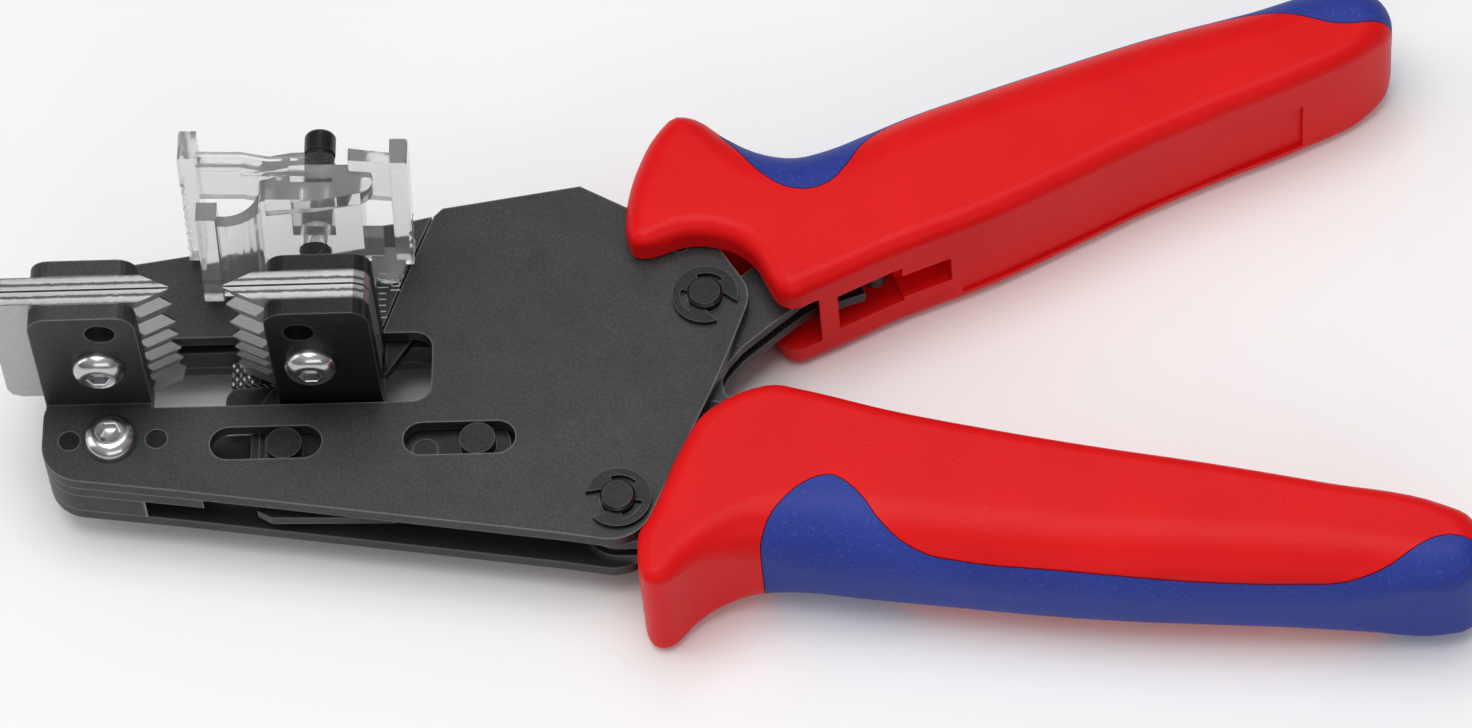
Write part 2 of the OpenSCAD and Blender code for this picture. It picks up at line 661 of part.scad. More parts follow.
// Far half
module far_outline() {
    polygon(concat(
        [[-9.4, window_far], [37.5 - seam_w, window_far], [37.72 - seam_w, 17.13],
         [41.19 - seam_w, 27.52 + 0.1], [44.18 - seam_w, 35.64], [41.07, 35]],
        [[1.8, 28.87]],
        arc([-5.4, 23.8], 4, 98, half_turn, 6)));
}
module far_top_plate() {
    steel() place() {
        difference() {
            union() {
                translate([0, 0, z_top_plate]) linear_extrude(plate_t) far_outline();
                bend_foot(-9.4, 5.5, far_flange_y, window_far, -1);
            }
            hole(far_screw, 4);
            hole(far_rivet_at, 3);
        }
        flange(-9.4, 5.5, far_flange_y, z_top_plate + plate_t - eps, blade_top,
            [[left_screw.x, left_screw.y, blade_screw_d], [0.5, left_screw.y + 8.4, 4.2]]);
    }
}
module far_bottom_plate() {
    steel() place() difference() {
        linear_extrude(plate_t) far_outline();
        hole(far_screw, 4);
        hole(far_rivet_at, 3);
    }
}
module far_arm() {
    steel() place() difference() {
        translate([0, 0, z_layer_mid]) linear_extrude(layer_t) {
            polygon([[14, 27.5], [40, 26], [60, 27.5], [79, 26.1], [79, 34.1], [62, 36.5], [43, 35],
                [14, 30.4]]);
            translate(far_pin) circle(r = 4);
        }
        hole(far_pin, far_pin_d + two * pin_fit);
        hole(far_rivet_at, 3);
    }
}
module far_spacer(z, h) {
    steel() place() difference() {
        translate([0, 0, z]) linear_extrude(h)
            polygon([[15, 27.7], [39.5, 27.7], [41.5, 34.2], [38, 34.2], [15, 30.6]]);
        hole(far_rivet_at, 3);
    }
}
module far_spacer_upper() { far_spacer(z_layer_mid + layer_t, z_top_plate - z_layer_mid - layer_t); }
module far_spacer_lower() { far_spacer(plate_t, z_layer_mid - plate_t); }
module far_corner_block() {
    steel() place() difference() {
        translate([0, 0, plate_t]) linear_extrude(inner_h) polygon(concat(
            [[-9.4, window_far], [7.4, window_far], [7.4, 29.4], [1.8, 28.6]],
            arc([-5.4, 23.8], 4, 98, half_turn, 6)));
        hole(far_screw, 4);
    }
}
module far_corner_screw() {
    bright() place() translate([far_screw.x, far_screw.y, body_h])
        button_screw(4, 7.6, 2.2, body_h, 2.9);
}
module far_rivet() {
    black() place() translate([far_rivet_at.x, far_rivet_at.y, 0]) cylinder(d = 3, h = body_h);
}

module far_slider() {
    steel() place() {
        difference() {
            translate([0, 0, z_layer_high]) linear_extrude(layer_t) polygon([
                [23.3, far_blade_y], [37.85, far_blade_y], [42, 17.5], [42, 24], [40, 26],
                [20, 26], [18.8, 24], [18.8, far_blade_y + 1], [20.2, far_blade_y]]);
        }
        flange(23.3, 37.85, far_flange_y, z_layer_high + layer_t - eps, blade_top,
            [[right_screw.x, right_screw.y, rod_d], [27.9, rod_z + 8, 4.2]]);
    }
}

// Knurled clamp pad carried under the far slider, seen through the window
module far_clamp_pad() {
    steel() place() difference() {
        union() {
            translate([15.9, 10.9, z_layer_low]) cube([2.4, 3.9, z_layer_high - 0.5 - z_layer_low]);
            translate([18, 10.9, z_layer_low]) cube([9, 3.9, z_layer_high - z_layer_low]);
        }
        translate([15, 12.75, z_layer_high - 0.8]) cube([3.3, 0.2, 1]);
    }
}

module stop_rod() {
    black() place() translate([right_screw.x, far_blade_y, rod_z]) rotate([-quarter_turn, 0, 0]) {
        cylinder(d = blade_screw_d, h = blade_t + eps);
        translate([0, 0, blade_t]) cylinder(d = rod_d, h = rod_end - far_flange_y);
    }
}

// Clear length stop that slides on the rod, turned a little about it
stop_turn = 3;
stop_floor = body_h + 1.2;
wing_top = body_h + 27.2;
rail_top = body_h + 24.8;
leg_top = body_h + 22;
ledge_top = body_h + 19.2;
hub_top = body_h + 22.2;
hub_front = 24.4;
hub_back = 30.4;
rib_pitch = 2;
rib_depth = 0.5;
ribs_left = 9;

// Wing seen from the near side, ribs on its outer side: dir is 1 for the right wing
module wing(x_out, dir, y0, y1, ribs) {
    x_in = x_out - dir * stop_wall;
    rib_top = stop_floor + 1 + ribs * rib_pitch;
    translate([0, y1, 0]) rotate([quarter_turn, 0, 0]) linear_extrude(y1 - y0) polygon(concat(
        [[x_in, stop_floor], [x_in, wing_top], [x_out - dir * 0.3, wing_top],
         [x_out, wing_top - 0.3]],
        [for (i = [0:ribs - 1]) each [
            [x_out, rib_top - i * rib_pitch],
            [x_out - dir * rib_depth, rib_top - (i + 0.5) * rib_pitch]]],
        [[x_out, stop_floor]]));
}

module stop_wall_plan(grow) {
    polygon([[11, 28.6 - grow], [19, 28.6 - grow], [23, 27.8 - grow], [28, 27.6 - grow],
        [28, 29.4 + grow], [23, 29.6 + grow], [19, 30.4 + grow], [11, 30.4 + grow]]);
}

module stop_body() {
    // leg and the curved web that joins it to the hub
    translate([0, 0, stop_floor]) linear_extrude(leg_top - stop_floor)
        polygon([[12.9, 21.2], [15.6, 21.2], [15.8, 21.4], [15.8, 24.2], [12.9, 24.2]]);
    translate([0, 0, stop_floor]) linear_extrude(ledge_top - stop_floor)
        polygon(concat(arc([16.5, 28.5], 6.5, -98, -12, 8), arc([16.5, 28.5], 4.8, -12, -98, 8)));
    // hub round the rod
    translate([0, hub_back, 0]) rotate([quarter_turn, 0, 0]) linear_extrude(hub_back - hub_front)
        polygon(concat(arc([24.4, stop_floor + 3], 3, half_turn, 270, 5),
            arc([32.7, stop_floor + 3], 3, 270, full_turn, 5),
            arc([34.4, hub_top - 1.3], 1.3, 0, quarter_turn, 4),
            arc([22.7, hub_top - 1.3], 1.3, quarter_turn, half_turn, 4)));
    // rounded plate lying on the hub
    translate([0, 0, hub_top - 0.8]) linear_extrude(2.8) polygon(concat(
        [[22.6, 22.4], [30, 23.2]], arc([35.1, 26.6], 2.3, -75, 100, 9), [[28, 28.4], [22.6, 26.6]]));
    // back wall with its rail
    translate([0, 0, ledge_top - 3]) linear_extrude(rail_top - ledge_top + 3) stop_wall_plan(0);
    translate([0, 0, rail_top - 1.2]) linear_extrude(1.2) stop_wall_plan(0.4);
    translate([0, 29.8, 0]) rotate([quarter_turn, 0, 0]) linear_extrude(2.4) polygon(
        [[19, rail_top - 1], [28, rail_top - 1], [28, rail_top + 1.4], [26, rail_top + 1.2], [22, rail_top]]);
    // wings
    wing(10.4, -1, 28, 32.6, ribs_left);
    wing(42.2, 1, 27.4, 31.4, 4);
    translate([0, 0, ledge_top - 2]) linear_extrude(wing_top - ledge_top + 1.7)
        polygon([[34, 28], [40.2, 27.6], [40.2, 29.2], [34, 30]]);
    // foot lip and pointer
    translate([0, 0, stop_floor]) linear_extrude(1.2) polygon(concat(
        [[41, 29.5], [36.2, 29.5], [36.2, 26.4]], arc([38.6, 26.4], 2.4, half_turn, full_turn, 8)));
    translate([0, 0, stop_floor]) linear_extrude(0.8)
        polygon([[36.3, 28], [36.3, 22.4], [36.8, 22.4], [37.4, 28]]);
    translate([0, 0, stop_floor]) linear_extrude(6) polygon([[34.6, 28], [38, 28], [38, 30], [34.6, 30]]);
}

module length_stop() {
    clear() place() translate([right_screw.x, 0, rod_z]) rotate([0, stop_turn, 0])
        translate([-right_screw.x, 0, -rod_z]) difference() {
        stop_body();
        translate([right_screw.x, hub_front - 3, rod_z]) rotate([-quarter_turn, 0, 0])
            cylinder(d = rod_d + two * rod_fit, h = hub_back - hub_front + 6);
        translate([right_screw.x - 3, 26.2, stop_floor + 11]) cube([6, 1.5, 20]);
    }
}

// Return spring as one unbroken tube
module return_spring() {
    mean_r = (spring_d - spring_wire) / two;
    pitch = spring_reach / spring_curls;
    rings = 8 * spring_curls;
    sides = 6;
    echo(spring_gap = pitch - spring_wire);
    points = [for (k = [0:rings], s = [0:sides - 1]) let (t = full_turn * k / 8,
        r = mean_r + spring_wire / two * cos(full_turn * s / sides))
        [pitch * k / 8 + spring_wire / two * sin(full_turn * s / sides), r * cos(t), r * sin(t)]];
    walls = [for (k = [0:rings - 1], s = [0:sides - 1]) let (j = (s + 1) % sides)
        each [[k * sides + s, (k + 1) * sides + s, (k + 1) * sides + j],
              [k * sides + s, (k + 1) * sides + j, k * sides + j]]];
    caps = [[for (s = [0:sides - 1]) s], [for (s = [0:sides - 1]) (rings + 1) * sides - 1 - s]];
    bright() place() translate([spring_start, -9.2, body_h / two])
        polyhedron(points = points, faces = concat(walls, caps), convexity = 8);
}

near_top_plate();
near_bottom_plate();
front_liner();
front_spacer();
front_screw();
dowel_pin_left();
dowel_pin_right();
near_fixed_blade();
near_fixed_screw();
handle_pin();
handle_pin_clip();
tang_pin();
tang_pin_clip();
far_pivot_pin();
tang_upper();
tang_lower();
lower_grip();
lower_grip_insert();
near_slider();
near_moving_blade();
near_moving_screw();
front_guide_pin();
rear_guide_pin();
drive_link();
slider_rivet();
near_foot();
spring_hook();
spring_anchor();
near_rail();
far_top_plate();
far_bottom_plate();
far_arm();
far_spacer_upper();
far_spacer_lower();
far_corner_block();
far_corner_screw();
far_rivet();
far_rail();
far_fixed_blade();
far_fixed_screw();
far_slider();
far_clamp_pad();
far_moving_blade();
stop_rod();
length_stop();
lever_upper();
lever_lower();
drive_pin();
grip_pin();
upper_grip();
upper_grip_insert();
return_spring();
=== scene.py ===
import math

import bmesh
import bpy
import numpy as np
from mathutils import Matrix, Vector


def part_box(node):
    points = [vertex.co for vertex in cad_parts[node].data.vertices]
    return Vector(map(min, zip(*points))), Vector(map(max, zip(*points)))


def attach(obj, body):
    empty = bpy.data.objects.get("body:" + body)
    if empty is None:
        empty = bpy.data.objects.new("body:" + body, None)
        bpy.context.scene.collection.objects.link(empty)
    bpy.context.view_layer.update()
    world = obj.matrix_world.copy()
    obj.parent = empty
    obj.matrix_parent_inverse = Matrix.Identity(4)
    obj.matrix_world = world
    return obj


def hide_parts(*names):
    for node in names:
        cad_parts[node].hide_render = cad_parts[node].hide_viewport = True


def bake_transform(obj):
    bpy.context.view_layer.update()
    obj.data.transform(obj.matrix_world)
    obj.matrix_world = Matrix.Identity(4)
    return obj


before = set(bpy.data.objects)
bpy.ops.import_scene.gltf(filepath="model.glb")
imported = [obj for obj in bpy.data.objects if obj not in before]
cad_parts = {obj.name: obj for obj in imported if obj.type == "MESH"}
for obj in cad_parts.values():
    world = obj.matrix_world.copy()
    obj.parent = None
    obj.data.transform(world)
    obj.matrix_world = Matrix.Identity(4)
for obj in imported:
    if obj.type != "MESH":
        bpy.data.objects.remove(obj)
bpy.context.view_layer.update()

# The tool frame of the part's source: millimetres, z from the underside of the steel body
CENTRE_X, CENTRE_Y, GRIP_SINK = 87.3, 19.75, 5.3
BODY_H = 10.0
MM = 0.001
FULL_TURN = 2 * math.pi
ALONG_Y, ALONG_Z = 1, 2


def at(x, y, z):
    """A point of the tool frame, in metres of the row frame."""
    return Vector(((x - CENTRE_X) * MM, (y - CENTRE_Y) * MM, (z + GRIP_SINK) * MM))


def colour(r, g, b):
    """A colour given in sRGB bytes, as linear light."""
    def linear(v):
        v /= 255.0
        return v / 12.92 if v <= 0.04045 else ((v + 0.055) / 1.055) ** 2.4
    return (linear(r), linear(g), linear(b), 1.0)


# Node trees: helpers that the finishes, the patterns, the floor and the sky share
def add_node(tree, kind, inputs=None, **settings):
    """A node with its settings; its inputs, by name or number, are linked or set."""
    node = tree.nodes.new(kind)
    for key, value in settings.items():
        setattr(node, key, value)
    for key, value in (inputs or {}).items():
        if isinstance(value, bpy.types.NodeSocket):
            tree.links.new(value, node.inputs[key])
        else:
            node.inputs[key].default_value = value
    return node


def first_node(tree, kind):
    """The node of a kind that a new tree already has."""
    return next(n for n in tree.nodes if n.type == kind)


def maths(tree, operation, *values):
    """The output of one Math node on outputs or plain numbers."""
    return add_node(tree, "ShaderNodeMath", dict(enumerate(values)), operation=operation).outputs[0]


def edge_wear_and_painted_light_group():
    """Edge mask that several finishes share, for wear and painted light on edges: how much an edge shows and
    how uneven a face is.
    """
    tree = bpy.data.node_groups.new("edge_and_grain", "ShaderNodeTree")
    for label, way, kind in (("Vector", "INPUT", "Vector"), ("Edge", "INPUT", "Float"),
                             ("Grain", "INPUT", "Float"), ("Edge mask", "OUTPUT", "Float"),
                             ("Grain value", "OUTPUT", "Float")):
        tree.interface.new_socket(label, in_out=way, socket_type="NodeSocket" + kind)
    given = tree.nodes.new("NodeGroupInput").outputs
    face = add_node(tree, "ShaderNodeNewGeometry").outputs["Normal"]
    rounded = add_node(tree, "ShaderNodeBevel", {"Radius": given["Edge"]}, samples=4).outputs["Normal"]
    match = add_node(tree, "ShaderNodeVectorMath", {0: rounded, 1: face}, operation="DOT_PRODUCT")
    mask = add_node(tree, "ShaderNodeMapRange", {
        "Value": match.outputs["Value"], "From Min": 0.995, "From Max": 0.80})
    grain = add_node(tree, "ShaderNodeTexNoise", {
        "Vector": given["Vector"], "Scale": given["Grain"], "Detail": 3.0})
    add_node(tree, "NodeGroupOutput", {
        "Edge mask": mask.outputs["Result"], "Grain value": grain.outputs["Fac"]})
    return tree


EDGE_WEAR_AND_PAINTED_LIGHT = edge_wear_and_painted_light_group()


class Finish:
    """A procedural material and short ways to add nodes to it."""

    def __init__(self, name):
        self.material = bpy.data.materials.new(name)
        self.material.use_nodes = True
        self.tree = self.material.node_tree
        self.place = self.add("ShaderNodeTexCoord").outputs["Object"]

    def add(self, kind, inputs=None, **settings):
        return add_node(self.tree, kind, inputs, **settings)

    def noise(self, scale, detail=4.0, rough=0.55, stretch=None):
        """Uneven values from 0 to 1; the scale is in waves per metre."""
        place = self.place
        if stretch:
            place = self.add("ShaderNodeMapping", {"Vector": place, "Scale": stretch}).outputs["Vector"]
        return self.add("ShaderNodeTexNoise", {
            "Vector": place, "Scale": scale, "Detail": detail, "Roughness": rough}).outputs["Fac"]

    def ramp(self, value, stops):
        """A blend between stops, each a place from 0 to 1 with a grey or a colour."""
        node = self.add("ShaderNodeValToRGB", {"Fac": value})
        elements = node.color_ramp.elements
        while len(elements) < len(stops):
            elements.new(0.5)
        for element, (place, shade) in zip(elements, stops):
            element.position = place
            element.color = shade if hasattr(shade, "__len__") else (shade, shade, shade, 1.0)
        return node.outputs["Color"]

    def mix(self, factor, a, b, blend="MIX"):
        """One colour over another, by a factor from 0 to 1."""
        return self.add("ShaderNodeMix", {"Factor": factor, "A": a, "B": b},
                        data_type="RGBA", blend_type=blend).outputs["Result"]

    def bump(self, height, strength, distance):
        """Normals of a relief whose full height is the distance."""
        return self.add("ShaderNodeBump", {
            "Height": height, "Strength": strength, "Distance": distance}).outputs["Normal"]

    def edge_wear_and_painted_light(self, edge, grain):
        """The edge mask and the grain from the shared group."""
        node = self.add("ShaderNodeGroup", {"Vector": self.place, "Edge": edge, "Grain": grain},
                        node_tree=EDGE_WEAR_AND_PAINTED_LIGHT)
        return node.outputs["Edge mask"], node.outputs["Grain value"]

    def finish(self, looks):
        """Sets or links the inputs of the Principled surface and gives the material."""
        surface = first_node(self.tree, "BSDF_PRINCIPLED")
        for name, value in looks.items():
            if isinstance(value, bpy.types.NodeSocket):
                self.tree.links.new(value, surface.inputs[name])
            else:
                surface.inputs[name].default_value = value
        return self.material


# Materials: noise scales in waves per metre, and how brushed lines are squeezed along Z
BLOTCH, SMUDGE, POLISH = 90.0, 420.0, 900.0
BRUSHED = (1.0, 1.0, 14.0)


def coated_steel(name, low, high, edge, rough, grain=2600.0, edge_width=0.4 * MM, bump=0.10):
    """Dark phosphated or blackened steel with a fine grain and paler edges that are partly wear, partly a
    painted highlight.
    """
    m = Finish(name)
    edges, grains = m.edge_wear_and_painted_light(edge_width, grain)
    coat = m.ramp(grains, [(0.25, low), (0.8, high)])
    blotches = m.ramp(m.noise(BLOTCH, 5.0), [(0.3, 0.85), (0.75, 1.12)])
    return m.finish({
        # Paler edges: partly wear, partly a painted highlight along the edges
        "Base Color": m.mix(edges, m.mix(1.0, coat, blotches, "MULTIPLY"), edge),
        "Metallic": 0.55,
        "Roughness": m.ramp(m.noise(SMUDGE, 3.0), [(0.3, rough - 0.05), (0.7, rough + 0.06)]),
        "Normal": m.bump(grains, bump, 0.04 * MM)})


def bright_steel(name, base, rough, scale=POLISH, strength=0.12):
    """Bright steel with a fine, slightly uneven polish."""
    m = Finish(name)
    polish = m.noise(scale, 3.0, 0.6)
    darker = tuple(c * 0.82 for c in base[:3]) + (1.0,)
    return m.finish({
        "Base Color": m.ramp(polish, [(0.3, darker), (0.7, base)]),
        "Metallic": 1.0,
        "Roughness": m.ramp(polish, [(0.3, rough), (0.7, rough + 0.12)]),
        "Normal": m.bump(polish, strength, 0.03 * MM)})


def moulded(name, base, dark, rough, grain, strength, sparkle=0.0, specular=0.24):
    """Moulded plastic with a fine spark-eroded grain, which may sparkle a little."""
    m = Finish(name)
    fine = m.noise(grain, 2.0, 0.6)
    skin = m.mix(m.ramp(m.noise(60.0, 4.0), [(0.3, 0.0), (0.7, 1.0)]), base, dark)
    if sparkle:
        spot = tuple(min(1.0, c * 1.9 + 0.02) for c in base[:3]) + (1.0,)
        skin = m.mix(m.ramp(fine, [(0.56, 0.0), (0.72, sparkle)]), skin, spot)
    return m.finish({
        "Base Color": skin,
        "Roughness": m.ramp(fine, [(0.3, rough - 0.06), (0.7, rough + 0.08)]),
        "Normal": m.bump(fine, strength, 0.08 * MM),
        "Specular IOR Level": specular})


def clear_plastic(name):
    """Clear moulding: nearly colourless walls whose edges are painted a little grey, as painted shade for
    the dark refraction at the edges.
    """
    m = Finish(name)
    edges, grains = m.edge_wear_and_painted_light(0.35 * MM, 500.0)
    return m.finish({
        # Grey edges: painted shade
        "Base Color": m.mix(edges, (0.985, 0.99, 0.99, 1.0), (0.80, 0.81, 0.82, 1.0)),
        "Transmission Weight": 0.87,
        "IOR": 1.49,
        "Roughness": m.ramp(grains, [(0.3, 0.02), (0.75, 0.12)]),
        "Normal": m.bump(m.noise(170.0, 2.0), 0.25, 0.3 * MM)})


def blade_steel(name, middle):
    """Ground blade steel; the narrow top faces carry a rough dark band between two bright ones."""
    m = Finish(name)
    lines = m.noise(POLISH, 3.0, 0.6, BRUSHED)
    side = m.ramp(lines, [(0.3, colour(158, 159, 161)), (0.7, colour(190, 192, 194))])
    split = m.add("ShaderNodeSeparateXYZ", {0: m.place})
    away = maths(m.tree, "ABSOLUTE", maths(m.tree, "SUBTRACT", split.outputs["Y"], middle))
    uneven = maths(m.tree, "MULTIPLY_ADD", m.noise(1400.0, 4.0, 0.7), 0.6 * MM, away)
    across = m.add("ShaderNodeMapRange", {"Value": uneven, "From Min": 0.3 * MM, "From Max": 2.4 * MM})
    bands = m.ramp(across.outputs["Result"], [
        (0.0, colour(70, 70, 72)), (0.05, colour(188, 189, 190)), (0.34, colour(176, 177, 178)),
        (0.40, colour(84, 84, 86)), (0.56, colour(104, 104, 106)), (0.62, colour(190, 191, 192)),
        (0.95, colour(172, 173, 174)), (1.0, colour(120, 120, 122))])
    normal = m.add("ShaderNodeSeparateXYZ", {0: m.add("ShaderNodeNewGeometry").outputs["Normal"]})
    is_top = maths(m.tree, "GREATER_THAN", normal.outputs["Z"], 0.9)
    return m.finish({
        "Base Color": m.mix(is_top, side, bands),
        "Metallic": 0.9,
        "Roughness": m.ramp(lines, [(0.3, 0.30), (0.7, 0.44)]),
        "Normal": m.bump(lines, 0.3, 0.03 * MM)})


def knurled_pad(name):
    """Bright pad steel with a cut diamond pattern: two sets of crossing grooves, painted darker in the
    grooves as painted shade.
    """
    m = Finish(name)
    grooves = []
    for lean in (math.radians(45), -math.radians(45)):
        turned = m.add("ShaderNodeMapping", {"Vector": m.place, "Rotation": (lean, 0.0, lean)})
        wave = m.add("ShaderNodeTexWave", {
            "Vector": turned.outputs["Vector"], "Scale": 420.0, "Distortion": 0.4},
            wave_type="BANDS", bands_direction="X")
        grooves.append(wave.outputs["Fac"])
    teeth = maths(m.tree, "MULTIPLY", *grooves)
    return m.finish({
        # The grooves are painted dark: painted shade in the recesses
        "Base Color": m.ramp(teeth, [(0.08, colour(62, 62, 64)), (0.55, colour(190, 191, 192))]),
        "Metallic": 0.85,
        "Roughness": 0.36,
        "Normal": m.bump(teeth, 0.8, 0.2 * MM)})


def scale_paint(name):
    """White printing of the scale, a little worn."""
    m = Finish(name)
    worn = m.noise(3000.0, 3.0)
    return m.finish({
        "Base Color": m.ramp(worn, [(0.3, colour(150, 150, 150)), (0.7, colour(214, 214, 214))]),
        "Roughness": 0.6})


BLADE_MIDDLE = 0.5 * (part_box("near_fixed_blade")[1][1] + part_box("far_fixed_blade")[0][1])

FINISHES = {
    "plate": coated_steel("plate_phosphate", colour(46, 46, 47), colour(66, 66, 67),
                          colour(120, 120, 120), rough=0.46),
    "flange": coated_steel("flange_black", colour(20, 20, 21), colour(36, 36, 37),
                           colour(96, 96, 98), rough=0.34, grain=1500.0),
    "black": coated_steel("blackened_pin", colour(20, 20, 21), colour(42, 42, 43),
                          colour(100, 100, 102), rough=0.34, grain=1800.0, edge_width=0.2 * MM),
    "blade": blade_steel("blade_ground", BLADE_MIDDLE),
    "pad": knurled_pad("pad_steel"),
    "screw": bright_steel("screw_bright", colour(206, 206, 208), rough=0.16, scale=260.0,
                          strength=0.02),
    "spring": bright_steel("spring_wire", colour(150, 150, 152), rough=0.25),
    "red": moulded("grip_red", colour(222, 20, 22), colour(212, 14, 17), rough=0.38, grain=2600.0,
                   strength=0.34, specular=0.13),
    "blue": moulded("grip_blue", colour(40, 58, 146), colour(34, 52, 136), rough=0.52, grain=1900.0,
                    strength=0.5, sparkle=0.45),
    "clear": clear_plastic("stop_clear"),
    "paint": scale_paint("scale_paint"),
}

# Which nodes have which finish; every other node is plate steel
NODES_OF = {
    "flange": ["near_slider", "far_slider", "near_foot"],
    "black": ["dowel_pin_left", "dowel_pin_right", "handle_pin", "handle_pin_clip", "tang_pin",
              "tang_pin_clip", "far_pivot_pin", "front_guide_pin", "rear_guide_pin", "drive_pin",
              "stop_rod", "far_rivet", "slider_rivet", "grip_pin"],
    "blade": ["near_fixed_blade", "far_fixed_blade", "near_moving_blade", "far_moving_blade"],
    "pad": ["far_clamp_pad"],
    "screw": ["front_screw", "far_corner_screw", "near_fixed_screw", "near_moving_screw",
              "far_fixed_screw"],
    "spring": ["return_spring"],
    "red": ["upper_grip", "lower_grip"],
    "blue": ["upper_grip_insert", "lower_grip_insert"],
    "clear": ["length_stop"],
}
finish_of = {node: finish for finish, nodes in NODES_OF.items() for node in nodes}
for node, cad_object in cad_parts.items():
    cad_object.data.materials.clear()
    cad_object.data.materials.append(FINISHES[finish_of.get(node, "plate")])


# Shapes
def soften(mesh, angle=38.0):
    """Smooth shading, with edges above the angle kept sharp."""
    for polygon in mesh.polygons:
        polygon.use_smooth = True
    mesh.set_sharp_from_angle(angle=math.radians(angle))


def new_object(name, verts, faces, finish=None, angle=38.0):
    """A mesh object from points in the row frame, its faces turned outwards."""
    mesh = bpy.data.meshes.new(name)
    mesh.from_pydata([tuple(v) for v in verts], [], [tuple(f) for f in faces])
    work = bmesh.new()
    work.from_mesh(mesh)
    bmesh.ops.recalc_face_normals(work, faces=work.faces)
    work.to_mesh(mesh)
    work.free()
    obj = bpy.data.objects.new(name, mesh)
    bpy.context.scene.collection.objects.link(obj)
    if finish:
        mesh.materials.append(FINISHES[finish])
    soften(mesh, angle)
    return obj


def side_faces(rings, around):
    """Faces between rings of points that follow each other in a list of points."""
    return [(k * around + i, k * around + (i + 1) % around,
             (k + 1) * around + (i + 1) % around, (k + 1) * around + i)
            for k in range(rings - 1) for i in range(around)]


def end_faces(rings, around):
    """The two faces that close a row of rings."""
    return [tuple(range(around)), tuple(range((rings - 1) * around, rings * around))]


def prism(name, outline, bottom, top):
    """A straight prism over an outline, all in the tool frame."""
    verts = [at(x, y, z) for z in (bottom, top) for x, y in outline]
    return new_object(name, verts, end_faces(2, len(outline)) + side_faces(2, len(outline)))


def finished_mesh(obj):
    """A new mesh of the object with its modifiers applied."""
    graph = bpy.context.evaluated_depsgraph_get()
    return bpy.data.meshes.new_from_object(obj.evaluated_get(graph), depsgraph=graph)


def apply_modifier(obj, modifier):
    """Makes the modifier's result the object's own mesh."""
    made, old = finished_mesh(obj), obj.data
    obj.modifiers.remove(modifier)
    made.name = obj.name
    obj.data = made
    bpy.data.meshes.remove(old)


def carve(obj, steps):
    """Applies booleans one after another; each step is (operation, cutter) and the cutters go."""
    for operation, cutter in steps:
        cut = obj.modifiers.new("cut", "BOOLEAN")
        cut.operation = operation
        cut.object = cutter
        cut.solver = "EXACT"
        apply_modifier(obj, cut)
        cutter_mesh = cutter.data
        bpy.data.objects.remove(cutter)
        bpy.data.meshes.remove(cutter_mesh)
    soften(obj.data)


LONGEST_BIT, MOST_BITS = 1.3, 7


def bits(points):
    """How many straight bits each stretch from a point to the next one gets, the closing one last."""
    plan = np.linalg.norm(np.roll(points, -1, axis=0)[:, :2] - points[:, :2], axis=1)
    return [int(max(2, min(MOST_BITS, round(length / LONGEST_BIT)))) for length in plan]


def smooth_line(points, counts, closed=True):
    """Points on a smooth curve through the given ones, with a count of bits for each stretch."""
    after = np.roll(points, -1, axis=0)
    gap = np.maximum(np.linalg.norm(after - points, axis=1), 1e-3)
    slope = (after - points) / gap[:, None]
    gap_before, slope_before = np.roll(gap, 1), np.roll(slope, 1, axis=0)
    tangent = (slope * gap_before[:, None] + slope_before * gap[:, None]) / (gap + gap_before)[:, None]
    if not closed:
        tangent[0], tangent[-1] = slope[0], slope_before[-1]
    line = []
    for i, count in enumerate(counts):
        j = (i + 1) % len(points)
        a, b, pull_a, pull_b = points[i], points[j], tangent[i] * gap[i], tangent[j] * gap[i]
        for t in np.arange(count) / count:
            line.append((2 * t ** 3 - 3 * t ** 2 + 1) * a + (t ** 3 - 2 * t ** 2 + t) * pull_a
                        + (3 * t ** 2 - 2 * t ** 3) * b + (t ** 3 - t ** 2) * pull_b)
    if not closed:
        line.append(points[-1])
    return np.array(line)


def arc(centre, radius, start, end, steps):
    """Points on an arc, from one angle in degrees to another."""
    turns = [math.radians(start + (end - start) * k / steps) for k in range(steps + 1)]
    return [(centre[0] + radius * math.cos(t), centre[1] + radius * math.sin(t)) for t in turns]


# Grips: outlines at mid height as x, y and the rounding of the edge there
UPPER_LINE = [
    (72.9, 27.6, 2), (71.9, 29.5, 2.5), (71.7, 33, 3), (72.2, 37.5, 3.5), (73.4, 42, 4), (75.6, 46.6, 3.8),
    (78.6, 49.6, 3.6), (81.6, 49.2, 4), (85.5, 46.9, 5.6), (90, 45.3, 8), (95.4, 44.6, 9), (99.5, 45.6, 9),
    (104.5, 47.8, 9), (111, 50.8, 9), (121, 54.6, 9), (133, 58.9, 9), (146, 63.3, 9), (160, 66.9, 8.5),
    (171, 69.4, 7), (176.3, 69, 6), (179.5, 66.9, 5.5), (180.7, 63.4, 5), (180, 60, 4), (177.7, 57.6, 3),
    (167.5, 51.9, 2.5), (156, 46.9, 2.5), (144.2, 41.4, 2.5), (134, 36, 2.5), (124, 30.9, 2.5),
    (109.7, 25, 2.5), (98, 19.4, 2.5), (95.2, 18.3, 2.5), (93.2, 19.2, 2.5), (91.8, 21.5, 2.5),
    (90, 25.2, 2.5), (87.6, 27.5, 2.5), (84, 28.9, 2.5), (80.4, 29.1, 2.5), (77.5, 28.2, 2.5),
    (75.2, 27.4, 2)]
